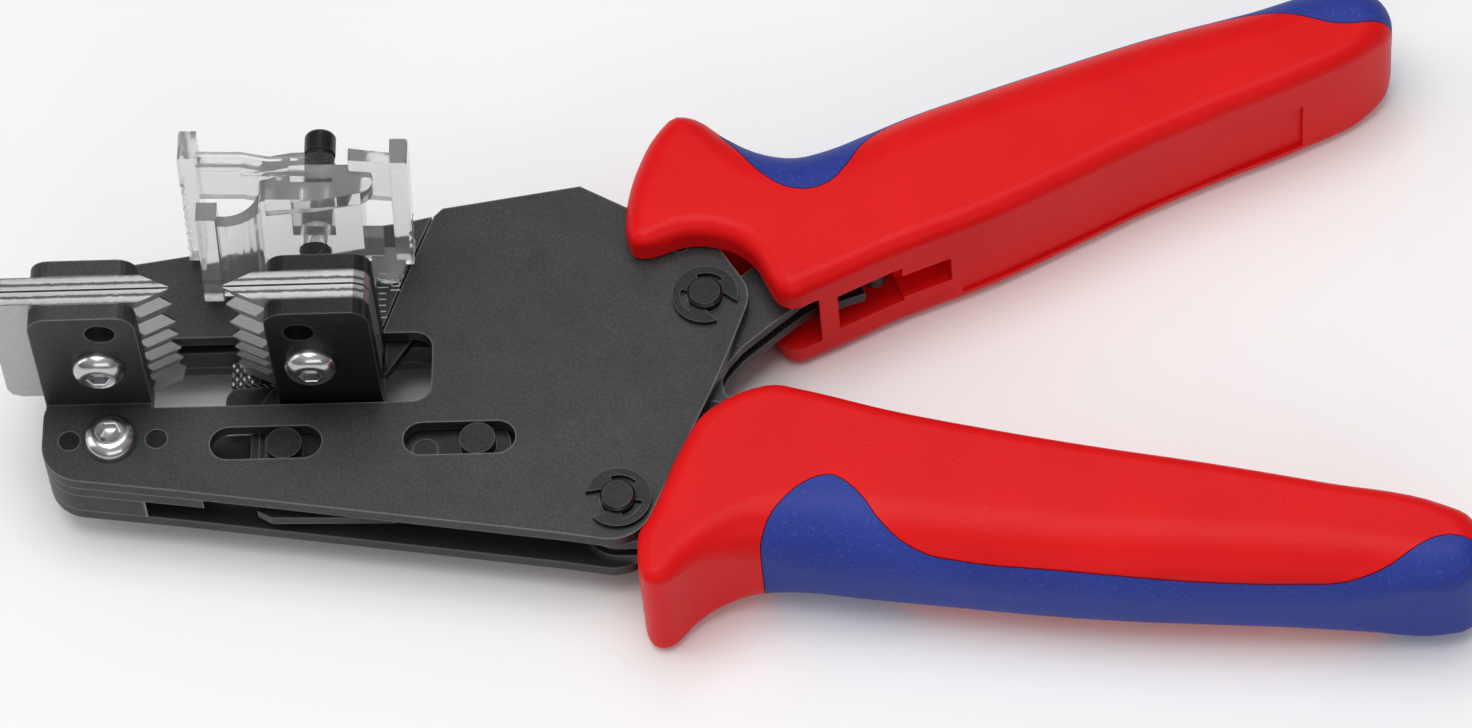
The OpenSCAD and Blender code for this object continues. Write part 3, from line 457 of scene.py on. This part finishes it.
LOWER_LINE = [
    (74.1, -19.4, 2.4), (75.6, -16.5, 2.5), (76.9, -13.3, 2.5), (79.7, -6, 2.5), (82.9, -0.4, 2.5),
    (86.5, 2.2, 2.5), (89.8, 3.6, 2.5), (93, 4.1, 2.5), (96.3, 3.3, 2.5), (108.7, -0.5, 2.5),
    (123.9, -4.3, 2.5), (137, -7.2, 2.5), (151.5, -10.1, 2.5), (168, -13.8, 2.5), (184.2, -17.6, 3),
    (187.5, -19.2, 3.3), (189.4, -22, 3.8), (189.6, -25.5, 4), (188, -28.5, 4.4), (184.1, -29.9, 5.5),
    (173, -29.9, 7.5), (162.6, -29.4, 8.6), (151, -28.8, 9), (140.2, -28, 9), (128, -26.7, 9),
    (117.7, -25.3, 9), (106, -23.7, 9), (95.5, -22, 8.5), (92.2, -21.5, 7.5), (88.9, -21.4, 6.4),
    (86, -21.9, 5), (83.3, -22.9, 3.8), (80.6, -24.9, 2.9), (78.6, -26.9, 2.2), (76.8, -27.6, 1.9),
    (75.1, -27, 1.8), (74.2, -25, 2)]

# Where the soft blue meets the red, and corners well outside that close the blue side
UPPER_SOFT = [
    (84.9, 45.6), (87.2, 43.1), (90.7, 38.5), (94.3, 35.8), (97.8, 35.3), (100.4, 36.3), (102.8, 39.1),
    (105.2, 43.5), (108.5, 46.9), (112, 48.8), (121, 52.3), (133, 56.6), (146, 61), (155, 63.3),
    (160.5, 63.9), (165.3, 63.2), (168.6, 62.1), (172.5, 60.9), (176, 60.9), (179.5, 61.6)]
UPPER_OUTSIDE = [(200, 64), (200, 80), (84.5, 80)]
LOWER_SOFT = [
    (90.8, -20.5), (91.9, -18), (93.8, -15.5), (96.4, -13.1), (99, -11.8), (100.9, -11.7),
    (102.8, -12.9), (104.9, -15.2), (106.9, -18.2), (109.6, -20.8), (113.5, -22.7), (118.2, -23.7),
    (131.5, -25.5), (149.1, -27.4), (165, -28.4), (169.5, -28.6), (172.8, -28.3), (176.6, -27.3),
    (180, -25.3), (182.2, -24.1), (184.8, -23.6), (187.7, -24.3)]
LOWER_OUTSIDE = [(200, -27), (200, -40), (90.6, -40)]

# Gaps for the steel body, the levers and the tang
LOWER_BODY_GAP = [(60, -22), (60, 12), (86, 12), (83.8, 0.5), (81.2, -5), (77.6, -14.5), (75.4, -19.4)]
LOWER_LEVER_GAP = [(60, -3), (60, 12), (94, 12), (93.5, -1), (88, -3.6)]
UPPER_BODY_GAP = [(60, 10), (100, 10), (98.3, 24), (92.2, 30), (87, 39), (81, 45.6), (60, 60)]
UPPER_PANEL = [
    (118.6, 29), (124, 31.4), (134, 36.5), (144.2, 41.9), (156, 47.4), (167.4, 52.5),
    (168.6, 50.4), (156, 43), (134, 32), (119.6, 26)]
HANDLE_PIN, TANG_PIN = (82.83, 20.99), (71.03, -11.73)
DRIVE_REACH, DRIVE_LEAN = 17.63, math.radians(4)
DRIVE_PIN = (HANDLE_PIN[0] + DRIVE_REACH * math.sin(DRIVE_LEAN),
             HANDLE_PIN[1] - DRIVE_REACH * math.cos(DRIVE_LEAN))
LEVER_LINE = (
    arc(HANDLE_PIN, 5.4, 200, 45, 12) + [(97, 34), (130, 50.2)] + arc((132, 45.5), 4.6, 100, -60, 8)
    + [(112, 31.2), (96.5, 21.4), (92.7, 18.2), (88, 14), (85.9, 11.3), (85, 9.4), (85.4, 7)]
    + arc(DRIVE_PIN, 3.2, 60, -170, 12) + [(79.4, 9), (77.9, 15)])
TANG_LINE = (
    arc(TANG_PIN, 5.5, 95, 262, 12)
    + [(78, -17.4), (96, -19), (128, -22), (129, -17), (128, -12.5), (96, -7.5), (80, -4.6)])

GRIP_H = 20.6
HALF_SEAM = 0.07
POCKET_GAP = 0.4
LEAST_LEAN = 0.75
ROUNDING_RINGS = 11
SOFT_BOTTOM, SOFT_TOP = -20.0, 30.0


def grip_body(name, line, finish):
    """The moulding over an outline, edges rounded as the outline says, top and underside flat."""
    points = np.array(line, float)
    plan, radius = points[:, :2], points[:, 2]
    ahead = np.roll(plan, -1, axis=0) - plan
    ahead /= np.linalg.norm(ahead, axis=1)[:, None]
    behind = np.roll(ahead, 1, axis=0)
    mean = (ahead + behind) / np.linalg.norm(ahead + behind, axis=1)[:, None]
    inward = np.stack([mean[:, 1], -mean[:, 0]], axis=1)
    lean = (inward * np.stack([behind[:, 1], -behind[:, 0]], axis=1)).sum(axis=1)
    inward /= np.maximum(lean, LEAST_LEAN)[:, None]
    rings = []
    for side in (-1.0, 1.0):
        turns = np.radians(np.linspace(min(90 * side, 0), max(90 * side, 0), ROUNDING_RINGS))
        for turn in turns:
            ring = np.zeros((len(points), 3))
            ring[:, :2] = plan + inward * (radius * (1 - math.cos(turn)))[:, None]
            ring[:, 2] = BODY_H / 2 + side * (GRIP_H / 2 - radius) + radius * math.sin(turn)
            fine = smooth_line(ring, bits(points))
            fine[:, :2] = np.clip(fine[:, :2], plan.min(axis=0), plan.max(axis=0))
            rings.append(fine)
    around = len(rings[0])
    return new_object(name, [at(*v) for ring in rings for v in ring],
                      end_faces(len(rings), around) + side_faces(len(rings), around), finish)


def soft_column(boundary, outside, shift):
    """A column round the blue side; its boundary with the red is moved by shift for the seam."""
    points = np.array(boundary, float)
    line = smooth_line(points, bits(points)[:-1], closed=False)
    run = np.gradient(line, axis=0)
    run /= np.linalg.norm(run, axis=1)[:, None]
    line = line + np.stack([-run[:, 1], run[:, 0]], axis=1) * shift
    return prism("soft", [tuple(v) for v in line] + outside, SOFT_BOTTOM, SOFT_TOP)


def gap_at(node, outline):
    """A cutter as high as a node's plate."""
    low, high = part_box(node)
    return prism(node + "_gap", outline, low[2] / MM - GRIP_SINK, high[2] / MM - GRIP_SINK)


def body_gap(outline):
    """A cutter for the steel body, with a little room above and below it."""
    return prism("body_gap", outline, -POCKET_GAP, BODY_H + POCKET_GAP)


# The upper grip's front wall runs from this point along this direction
WALL_START, WALL_RUN = (95.2, 18.3), (0.916, 0.401)


def on_wall(along, deep):
    """A point along the wall and behind it."""
    return (WALL_START[0] + along * WALL_RUN[0] - deep * WALL_RUN[1],
            WALL_START[1] + along * WALL_RUN[1] + deep * WALL_RUN[0])


def wall_opening(start, end, deep, bottom, top):
    """A cutter through the front wall of the upper grip."""
    front = -3
    corners = [on_wall(start, front), on_wall(start, deep), on_wall(end, deep), on_wall(end, front)]
    return prism("opening", corners, bottom, top)


def lower_cuts():
    lever_bottom, lever_top = 2, 8
    return [body_gap(LOWER_BODY_GAP),
            prism("lever_gap", LOWER_LEVER_GAP, lever_bottom - POCKET_GAP, lever_top + POCKET_GAP),
            gap_at("tang_lower", TANG_LINE), gap_at("tang_upper", TANG_LINE)]


def upper_cuts():
    return [body_gap(UPPER_BODY_GAP), gap_at("lever_lower", LEVER_LINE), gap_at("lever_upper", LEVER_LINE),
            wall_opening(start=6.7, end=16.8, deep=9, bottom=0.9, top=9.2),
            wall_opening(start=16.7, end=24.2, deep=4, bottom=1.7, top=7.2),
            prism("panel", UPPER_PANEL, bottom=-2.6, top=7.4)]


def grip_piece(name, line, finish, boundary_step, cutters):
    """The red or the blue part of a grip, with its pockets."""
    piece = grip_body(name, line, finish)
    carve(piece, [boundary_step] + [("DIFFERENCE", cutter) for cutter in cutters])
    flat_faces = piece.modifiers.new("flat_faces", "WEIGHTED_NORMAL")
    flat_faces.keep_sharp = True
    return piece


lower = grip_piece("lower_grip_moulding", LOWER_LINE, "red",
                   ("DIFFERENCE", soft_column(LOWER_SOFT, LOWER_OUTSIDE, HALF_SEAM)), lower_cuts())
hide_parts("lower_grip")
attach(lower, "near_half")

lower_soft = grip_piece("lower_grip_soft", LOWER_LINE, "blue",
                        ("INTERSECT", soft_column(LOWER_SOFT, LOWER_OUTSIDE, -HALF_SEAM)), lower_cuts())
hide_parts("lower_grip_insert")
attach(lower_soft, "near_half")

upper = grip_piece("upper_grip_moulding", UPPER_LINE, "red",
                   ("DIFFERENCE", soft_column(UPPER_SOFT, UPPER_OUTSIDE, -HALF_SEAM)), upper_cuts())
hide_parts("upper_grip")
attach(upper, "upper_handle")

# Painted shade: a dark plate inside the opening, where there is only shade
OPENING_SHADE_SHEET_LINE = [on_wall(6.9, 1.2), on_wall(11.2, 0.9), on_wall(11.2, 2.4), on_wall(11.7, 2.6),
               on_wall(11.5, 5.5), on_wall(8.0, 5.5), on_wall(6.9, 4.0)]
opening_shade_sheet = prism("opening_shade_sheet_plate", OPENING_SHADE_SHEET_LINE, bottom=3.9, top=5.7)
opening_shade_sheet.data.materials.append(FINISHES["black"])
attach(opening_shade_sheet, "upper_handle")

upper_soft = grip_piece("upper_grip_soft", UPPER_LINE, "blue",
                        ("INTERSECT", soft_column(UPPER_SOFT, UPPER_OUTSIDE, HALF_SEAM)), [])
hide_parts("upper_grip_insert")
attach(upper_soft, "upper_handle")


# Geometry Nodes: the knurl of the rod and the ticks of the scale
def pattern_tree(name, inputs):
    """A tree with named inputs, and the outputs of its input node."""
    tree = bpy.data.node_groups.new(name, "GeometryNodeTree")
    tree.interface.new_socket("Geometry", in_out="INPUT", socket_type="NodeSocketGeometry")
    for label, kind, value in inputs:
        socket = tree.interface.new_socket(label, in_out="INPUT", socket_type="NodeSocket" + kind)
        socket.default_value = value
    tree.interface.new_socket("Geometry", in_out="OUTPUT", socket_type="NodeSocketGeometry")
    return tree, tree.nodes.new("NodeGroupInput").outputs


def vector(tree, **parts):
    """A vector from outputs or plain numbers for X, Y and Z."""
    return add_node(tree, "ShaderNodeCombineXYZ", parts).outputs[0]


def end_tree(tree, geometry, material):
    """Gives the geometry its material and puts it out."""
    painted = add_node(tree, "GeometryNodeSetMaterial", {"Geometry": geometry, "Material": material})
    add_node(tree, "NodeGroupOutput", {0: painted.outputs[0]})


def apply_tree(obj, tree):
    pattern = obj.modifiers.new("pattern", "NODES")
    pattern.node_group = tree
    apply_modifier(obj, pattern)


def knurl_tree(around, rows, radius, rise, start, step, axis_x, axis_z):
    """Square teeth in staggered rows round a rod along Y, added to the rod itself."""
    tree, given = pattern_tree("knurl", [
        ("Around", "Int", around), ("Rows", "Int", rows), ("Radius", "Float", radius),
        ("Tooth height", "Float", rise), ("Start", "Float", start), ("Row step", "Float", step),
        ("Axis X", "Float", axis_x), ("Axis Z", "Float", axis_z),
        ("Material", "Material", FINISHES["black"])])
    count = maths(tree, "MULTIPLY", given["Around"], given["Rows"])
    points = add_node(tree, "GeometryNodePoints", {"Count": count})
    index = add_node(tree, "GeometryNodeInputIndex").outputs[0]
    column = maths(tree, "MODULO", index, given["Around"])
    row = maths(tree, "FLOOR", maths(tree, "DIVIDE", index, given["Around"]))
    half_step = maths(tree, "MULTIPLY", maths(tree, "MODULO", row, 2.0), 0.5)
    turn = maths(tree, "DIVIDE", maths(tree, "ADD", column, half_step), given["Around"])
    angle = maths(tree, "MULTIPLY", turn, FULL_TURN)
    out_x, out_z = maths(tree, "COSINE", angle), maths(tree, "SINE", angle)
    place = vector(tree,
                   X=maths(tree, "ADD", maths(tree, "MULTIPLY", out_x, given["Radius"]), given["Axis X"]),
                   Y=maths(tree, "ADD", maths(tree, "MULTIPLY", row, given["Row step"]), given["Start"]),
                   Z=maths(tree, "ADD", maths(tree, "MULTIPLY", out_z, given["Radius"]), given["Axis Z"]))
    placed = add_node(tree, "GeometryNodeSetPosition", {"Geometry": points.outputs[0], "Position": place})
    tooth = add_node(tree, "GeometryNodeMeshCone", {
        "Vertices": 4, "Radius Top": 0.0, "Depth": given["Tooth height"],
        "Radius Bottom": maths(tree, "MULTIPLY", given["Row step"], 1.04)})
    outwards = add_node(tree, "FunctionNodeAlignRotationToVector", {
        "Vector": vector(tree, X=out_x, Z=out_z)}, axis="Z")
    teeth = add_node(tree, "GeometryNodeInstanceOnPoints", {
        "Points": placed.outputs[0], "Instance": tooth.outputs["Mesh"], "Rotation": outwards.outputs[0]})
    real = add_node(tree, "GeometryNodeRealizeInstances", {0: teeth.outputs[0]})
    both = add_node(tree, "GeometryNodeJoinGeometry", {0: real.outputs[0]})
    tree.links.new(given["Geometry"], both.inputs[0])
    end_tree(tree, both.outputs[0], given["Material"])
    return tree


def turned_rod(name, profile, axis_x, axis_z, sides, finish):
    """A body of revolution about a line along Y; the profile is (y, radius) in metres."""
    turns = [FULL_TURN * k / sides for k in range(sides)]
    verts = [(axis_x + radius * math.cos(t), y, axis_z + radius * math.sin(t))
             for y, radius in profile for t in turns]
    return new_object(name, verts, side_faces(len(profile), sides) + end_faces(len(profile), sides), finish)


COLLAR_LENGTH, COLLAR_RADIUS, PLAIN_LENGTH = 2.12 * MM, 1.9 * MM, 3.4 * MM
KNURL_DEPTH, TOOTH_H, ROW_STEP, TEETH_AROUND = 0.28 * MM, 0.27 * MM, 0.335 * MM, 20
FIRST_ROW, KNURL_MARGIN = 0.35 * MM, 0.5 * MM
STEP_CHAMFER, END_CHAMFER, END_ROUND, UNDERSIZE = 0.1 * MM, 0.5 * MM, 0.15 * MM, 0.02 * MM
ROUND_DROP = 0.2 * MM
ROD_SIDES = 40

rod_low, rod_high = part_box("stop_rod")
rod_x, rod_z = 0.5 * (rod_low[0] + rod_high[0]), 0.5 * (rod_low[2] + rod_high[2])
rod_radius = 0.5 * (rod_high[0] - rod_low[0])
rod_end = rod_high[1]
shank_start = rod_low[1] + COLLAR_LENGTH
shank_end = rod_end - PLAIN_LENGTH
core = rod_radius - KNURL_DEPTH
rod = turned_rod("knurled_rod", [
    (rod_low[1], COLLAR_RADIUS), (shank_start, COLLAR_RADIUS), (shank_start, core), (shank_end, core),
    (shank_end + STEP_CHAMFER, rod_radius - UNDERSIZE), (rod_end - END_CHAMFER, rod_radius - UNDERSIZE),
    (rod_end - END_ROUND, rod_radius - ROUND_DROP), (rod_end, rod_radius - END_CHAMFER)],
    rod_x, rod_z, ROD_SIDES, "black")
row_count = int((shank_end - shank_start - KNURL_MARGIN) / ROW_STEP)
apply_tree(rod, knurl_tree(TEETH_AROUND, row_count, core, TOOTH_H, shank_start + FIRST_ROW, ROW_STEP,
                           rod_x, rod_z))
soften(rod.data, 25.0)
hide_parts("stop_rod")
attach(rod, "far_jaw")


def tick_tree(count, start, pitch, length, fifth_longer, width, rise):
    """Flat bars in a line along Y; every fifth one is longer."""
    tree, given = pattern_tree("scale_ticks", [
        ("Count", "Int", count), ("Start", "Vector", start), ("Pitch", "Float", pitch),
        ("Length", "Float", length), ("Fifth is longer by", "Float", fifth_longer),
        ("Width", "Float", width), ("Height", "Float", rise), ("Material", "Material", FINISHES["paint"])])
    line = add_node(tree, "GeometryNodeMeshLine", {
        "Count": given["Count"], "Start Location": given["Start"], "Offset": vector(tree, Y=given["Pitch"])})
    bar = add_node(tree, "GeometryNodeMeshCube", {
        "Size": vector(tree, X=given["Length"], Y=given["Width"], Z=given["Height"])})
    index = add_node(tree, "GeometryNodeInputIndex").outputs[0]
    is_fifth = maths(tree, "LESS_THAN", maths(tree, "MODULO", index, 5.0), 0.5)
    longer = maths(tree, "ADD", maths(tree, "MULTIPLY", is_fifth, given["Fifth is longer by"]), 1.0)
    ticks = add_node(tree, "GeometryNodeInstanceOnPoints", {
        "Points": line.outputs[0], "Instance": bar.outputs["Mesh"],
        "Scale": vector(tree, X=longer, Y=1.0, Z=1.0)})
    real = add_node(tree, "GeometryNodeRealizeInstances", {0: ticks.outputs[0]})
    end_tree(tree, real.outputs[0], given["Material"])
    return tree


FIRST_TICK = at(37.3, 19.0, BODY_H + 0.01)
ticks = new_object("scale_ticks", [FIRST_TICK], [], "paint")
apply_tree(ticks, tick_tree(count=8, start=FIRST_TICK, pitch=1.0 * MM, length=1.1 * MM,
                            fifth_longer=0.45, width=0.16 * MM, rise=0.03 * MM))
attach(ticks, "far_half")

# The plain figure beside the ticks
NUMBER_PLACE = at(39.2, 24.0, BODY_H + 0.012)
letters = bpy.data.curves.new("scale_number", "FONT")
letters.body = "10"
letters.size = 2.0 * MM
letters.align_x = "CENTER"
letters.align_y = "CENTER"
letters.extrude = 0.012 * MM
typed = bpy.data.objects.new("scale_number", letters)
bpy.context.scene.collection.objects.link(typed)
number_mesh = finished_mesh(typed)
bpy.data.objects.remove(typed)
number_mesh.transform(Matrix.Translation(NUMBER_PLACE) @ Matrix.Rotation(math.pi / 2, 4, "Z"))
number_mesh.materials.clear()
number_mesh.materials.append(FINISHES["paint"])
number = bpy.data.objects.new("scale_number", number_mesh)
bpy.context.scene.collection.objects.link(number)
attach(number, "far_half")


# Return spring: one round wire, wound in the place of the part's spring between the jaw's hook and the
# anchor
def coil(name, low, high, wire, curls, steps, sides, finish):
    """A round wire wound along X inside a box."""
    mean = 0.25 * (high[1] - low[1] + high[2] - low[2]) - wire / 2
    middle_y, middle_z = 0.5 * (low[1] + high[1]), 0.5 * (low[2] + high[2])
    start, end = low[0] + wire / 2, high[0] - wire / 2
    rings = curls * steps + 1
    verts = []
    for k in range(rings):
        turn = FULL_TURN * k / steps
        along = start + (end - start) * k / (rings - 1)
        for s in range(sides):
            side = FULL_TURN * s / sides
            radius = mean + wire / 2 * math.cos(side)
            verts.append((along + wire / 2 * math.sin(side), middle_y + radius * math.cos(turn),
                          middle_z + radius * math.sin(turn)))
    return new_object(name, verts, side_faces(rings, sides) + end_faces(rings, sides), finish)


spring_low, spring_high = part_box("return_spring")
spring = coil("return_spring_wire", spring_low, spring_high, wire=0.55 * MM, curls=20, steps=14, sides=8,
              finish="spring")
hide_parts("return_spring")
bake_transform(spring)

# Button screws: smooth domed heads with sharp hexagonal sockets
HEAD_SIDES, DOME_STEP, DOME_END = 48, 7, 70
SOCKET_FLATS, SOCKET_CHAMFER, SOCKET_CONE, SOCKET_LAND = 2.7 * MM, 0.12 * MM, 0.3 * MM, 0.25 * MM
SHANK_D = 4.0 * MM
SOCKET_DEPTH_SHARE, RIM_SHARE, FLAT_TOP_SHARE = 0.62, 0.12, 0.22


def socket_screw(node, body, axis, outward, head_d, head_h):
    """A button screw; outward is the side of its head along the axis, 1 or -1."""
    low, high = (np.array(v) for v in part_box(node))
    top, end = (high[axis], low[axis]) if outward > 0 else (low[axis], high[axis])
    seat = top - outward * head_h
    socket_floor = top - outward * SOCKET_DEPTH_SHARE * head_h
    first, second = [k for k in range(3) if k != axis]
    turns = [FULL_TURN * k / HEAD_SIDES for k in range(HEAD_SIDES)]

    def spot(radius, turn, level):
        place = 0.5 * (low + high)
        place[first] += radius * math.cos(turn)
        place[second] += radius * math.sin(turn)
        place[axis] = level
        return tuple(place)

    def hexagon(flats, level):
        """A ring of points on a hexagon, turned as the round rings are."""
        return [spot(0.5 * flats / math.cos(t % (math.pi / 3) - math.pi / 6), t, level) for t in turns]

    profile = [(0.5 * SHANK_D, end), (0.5 * SHANK_D, seat), (0.5 * head_d, seat)]
    for degrees in range(0, DOME_END + 1, DOME_STEP):
        reach = FLAT_TOP_SHARE + (0.5 - FLAT_TOP_SHARE) * math.cos(math.radians(degrees))
        rise = math.sin(math.radians(degrees)) / math.sin(math.radians(DOME_END))
        profile.append((head_d * reach, seat + outward * head_h * (RIM_SHARE + (1 - RIM_SHARE) * rise)))
    profile.append((0.5 * SOCKET_FLATS / math.cos(math.pi / 6) + SOCKET_LAND, top))
    verts = [spot(radius, t, level) for radius, level in profile for t in turns]
    verts += hexagon(SOCKET_FLATS + 2 * SOCKET_CHAMFER, top)
    verts += hexagon(SOCKET_FLATS, top - outward * SOCKET_CHAMFER)
    verts += hexagon(SOCKET_FLATS, socket_floor)
    rings = len(verts) // HEAD_SIDES
    last, tip = (rings - 1) * HEAD_SIDES, len(verts)
    verts.append(spot(0.0, 0.0, socket_floor - outward * SOCKET_CONE))
    faces = side_faces(rings, HEAD_SIDES) + [tuple(range(HEAD_SIDES))]
    faces += [(last + k, last + (k + 1) % HEAD_SIDES, tip) for k in range(HEAD_SIDES)]
    screw = new_object(node + "_socket", verts, faces, "screw", 30.0)
    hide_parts(node)
    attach(screw, body)


M4_HEAD = {"head_d": 7.6 * MM, "head_h": 2.2 * MM}
BLADE_HEAD = {"head_d": 7.5 * MM, "head_h": 2.1 * MM}
socket_screw("front_screw", "near_half", ALONG_Z, 1, **M4_HEAD)
socket_screw("far_corner_screw", "far_half", ALONG_Z, 1, **M4_HEAD)
socket_screw("near_fixed_screw", "near_half", ALONG_Y, -1, **BLADE_HEAD)
socket_screw("near_moving_screw", "near_jaw", ALONG_Y, -1, **BLADE_HEAD)
socket_screw("far_fixed_screw", "far_half", ALONG_Y, 1, **BLADE_HEAD)

# The clear stop's moulded edges
STOP_EDGE = 0.12 * MM
stop_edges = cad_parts["length_stop"].modifiers.new("moulded_edge", "BEVEL")
stop_edges.width = STOP_EDGE
stop_edges.segments = 2
stop_edges.limit_method = "ANGLE"
stop_edges.angle_limit = math.radians(40)


# Floor, light and camera
def white_floor():
    """Pale floor; seen from below it is clear, so the underside can be looked at."""
    floor_finish = Finish("floor_white")
    floor_finish.finish({"Base Color": (0.90, 0.90, 0.90, 1.0), "Roughness": 0.55,
                         "Specular IOR Level": 0.25})
    tree = floor_finish.tree
    side = floor_finish.add("ShaderNodeNewGeometry").outputs["Backfacing"]
    white = first_node(tree, "BSDF_PRINCIPLED").outputs[0]
    clear = floor_finish.add("ShaderNodeBsdfTransparent").outputs[0]
    either = floor_finish.add("ShaderNodeMixShader", {0: side, 1: white, 2: clear})
    tree.links.new(either.outputs[0], first_node(tree, "OUTPUT_MATERIAL").inputs["Surface"])
    bpy.ops.mesh.primitive_plane_add(size=6.0, location=(0, 0, 0))
    floor = bpy.context.object
    floor.name = "floor"
    floor.data.materials.append(floor_finish.material)
    return floor


def studio_sky(world):
    """White for the camera; a dimmer horizon gives metal and the clear stop something to reflect."""
    world.use_nodes = True
    tree = world.node_tree
    place = add_node(tree, "ShaderNodeTexCoord").outputs["Generated"]
    height = add_node(tree, "ShaderNodeSeparateXYZ", {0: place}).outputs["Z"]
    sky = add_node(tree, "ShaderNodeValToRGB", {"Fac": height})
    for element, stop, grey in zip(sky.color_ramp.elements, (0.05, 0.75),
                                   ((0.30, 0.30, 0.31, 1.0), (1.0, 1.0, 1.0, 1.0))):
        element.position = stop
        element.color = grey
    soft_box = first_node(tree, "BACKGROUND")
    soft_box.inputs["Strength"].default_value = 0.46
    tree.links.new(sky.outputs["Color"], soft_box.inputs["Color"])
    plain = add_node(tree, "ShaderNodeBackground", {"Color": (0.95, 0.95, 0.95, 1.0)})
    for_camera = add_node(tree, "ShaderNodeLightPath").outputs["Is Camera Ray"]
    either = add_node(tree, "ShaderNodeMixShader", {
        0: for_camera, 1: soft_box.outputs[0], 2: plain.outputs[0]})
    tree.links.new(either.outputs[0], first_node(tree, "OUTPUT_WORLD").inputs["Surface"])


def area_lamp(name, place, width, height, watts):
    """A rectangular lamp that looks at the middle of the tool."""
    light = bpy.data.lights.new(name, "AREA")
    light.shape = "RECTANGLE"
    light.size = width
    light.size_y = height
    light.energy = watts
    lamp = bpy.data.objects.new(name, light)
    lamp.location = place
    lamp.rotation_euler = (-Vector(place)).to_track_quat("-Z", "Y").to_euler()
    scene.collection.objects.link(lamp)


white_floor()
scene = bpy.context.scene
scene.view_settings.view_transform = "Standard"
scene.view_settings.look = "None"
scene.world = bpy.data.worlds.new("studio")
studio_sky(scene.world)
area_lamp("lamp_top", (-0.05, 0.05, 0.85), width=0.7, height=0.6, watts=4.5)
area_lamp("lamp_front", (0.15, -0.75, 0.45), width=0.9, height=0.3, watts=1.2)
area_lamp("lamp_left", (-0.75, 0.05, 0.35), width=0.4, height=0.6, watts=1.2)

# The camera found from the photograph: angles in degrees, distance in mm. ORIGIN_PX is the pixel
# of the tool frame's origin on the steel body's upper face
PHOTO_W, PHOTO_H = 1472, 728
AZIMUTH, ELEVATION, ROLL = 5.564, 58.1, 6.214
FOCAL_PX, DISTANCE = 7200.0, 1003.515
ORIGIN_PX = (111.0, 440.0)
SENSOR_W = 36.0


def photo_camera():
    """A camera that stands where the photograph's camera stood."""
    turn, tilt, roll = (math.radians(v) for v in (AZIMUTH, ELEVATION, ROLL))
    right = np.array([math.cos(turn), math.sin(turn), 0.0])
    look = np.array([-math.sin(turn) * math.cos(tilt), math.cos(turn) * math.cos(tilt), -math.sin(tilt)])
    level = np.stack([right, np.cross(right, look), look])
    rolled = np.array([[math.cos(roll), -math.sin(roll), 0.0],
                       [math.sin(roll), math.cos(roll), 0.0], [0.0, 0.0, 1.0]]) @ level
    origin = DISTANCE * np.array([(ORIGIN_PX[0] - PHOTO_W / 2) / FOCAL_PX,
                                  -(ORIGIN_PX[1] - PHOTO_H / 2) / FOCAL_PX, 1.0])
    eye = -rolled.T @ origin
    facing_back = rolled * np.array([[1.0], [1.0], [-1.0]])
    place = Matrix(facing_back.T.tolist()).to_4x4()
    place.translation = at(eye[0], eye[1], eye[2] + BODY_H)
    data = bpy.data.cameras.new("camera")
    data.sensor_width = SENSOR_W
    data.lens = FOCAL_PX / PHOTO_W * SENSOR_W
    data.clip_start, data.clip_end = 0.05, 20.0
    camera = bpy.data.objects.new("camera", data)
    camera.matrix_world = place
    scene.collection.objects.link(camera)
    scene.camera = camera


photo_camera()
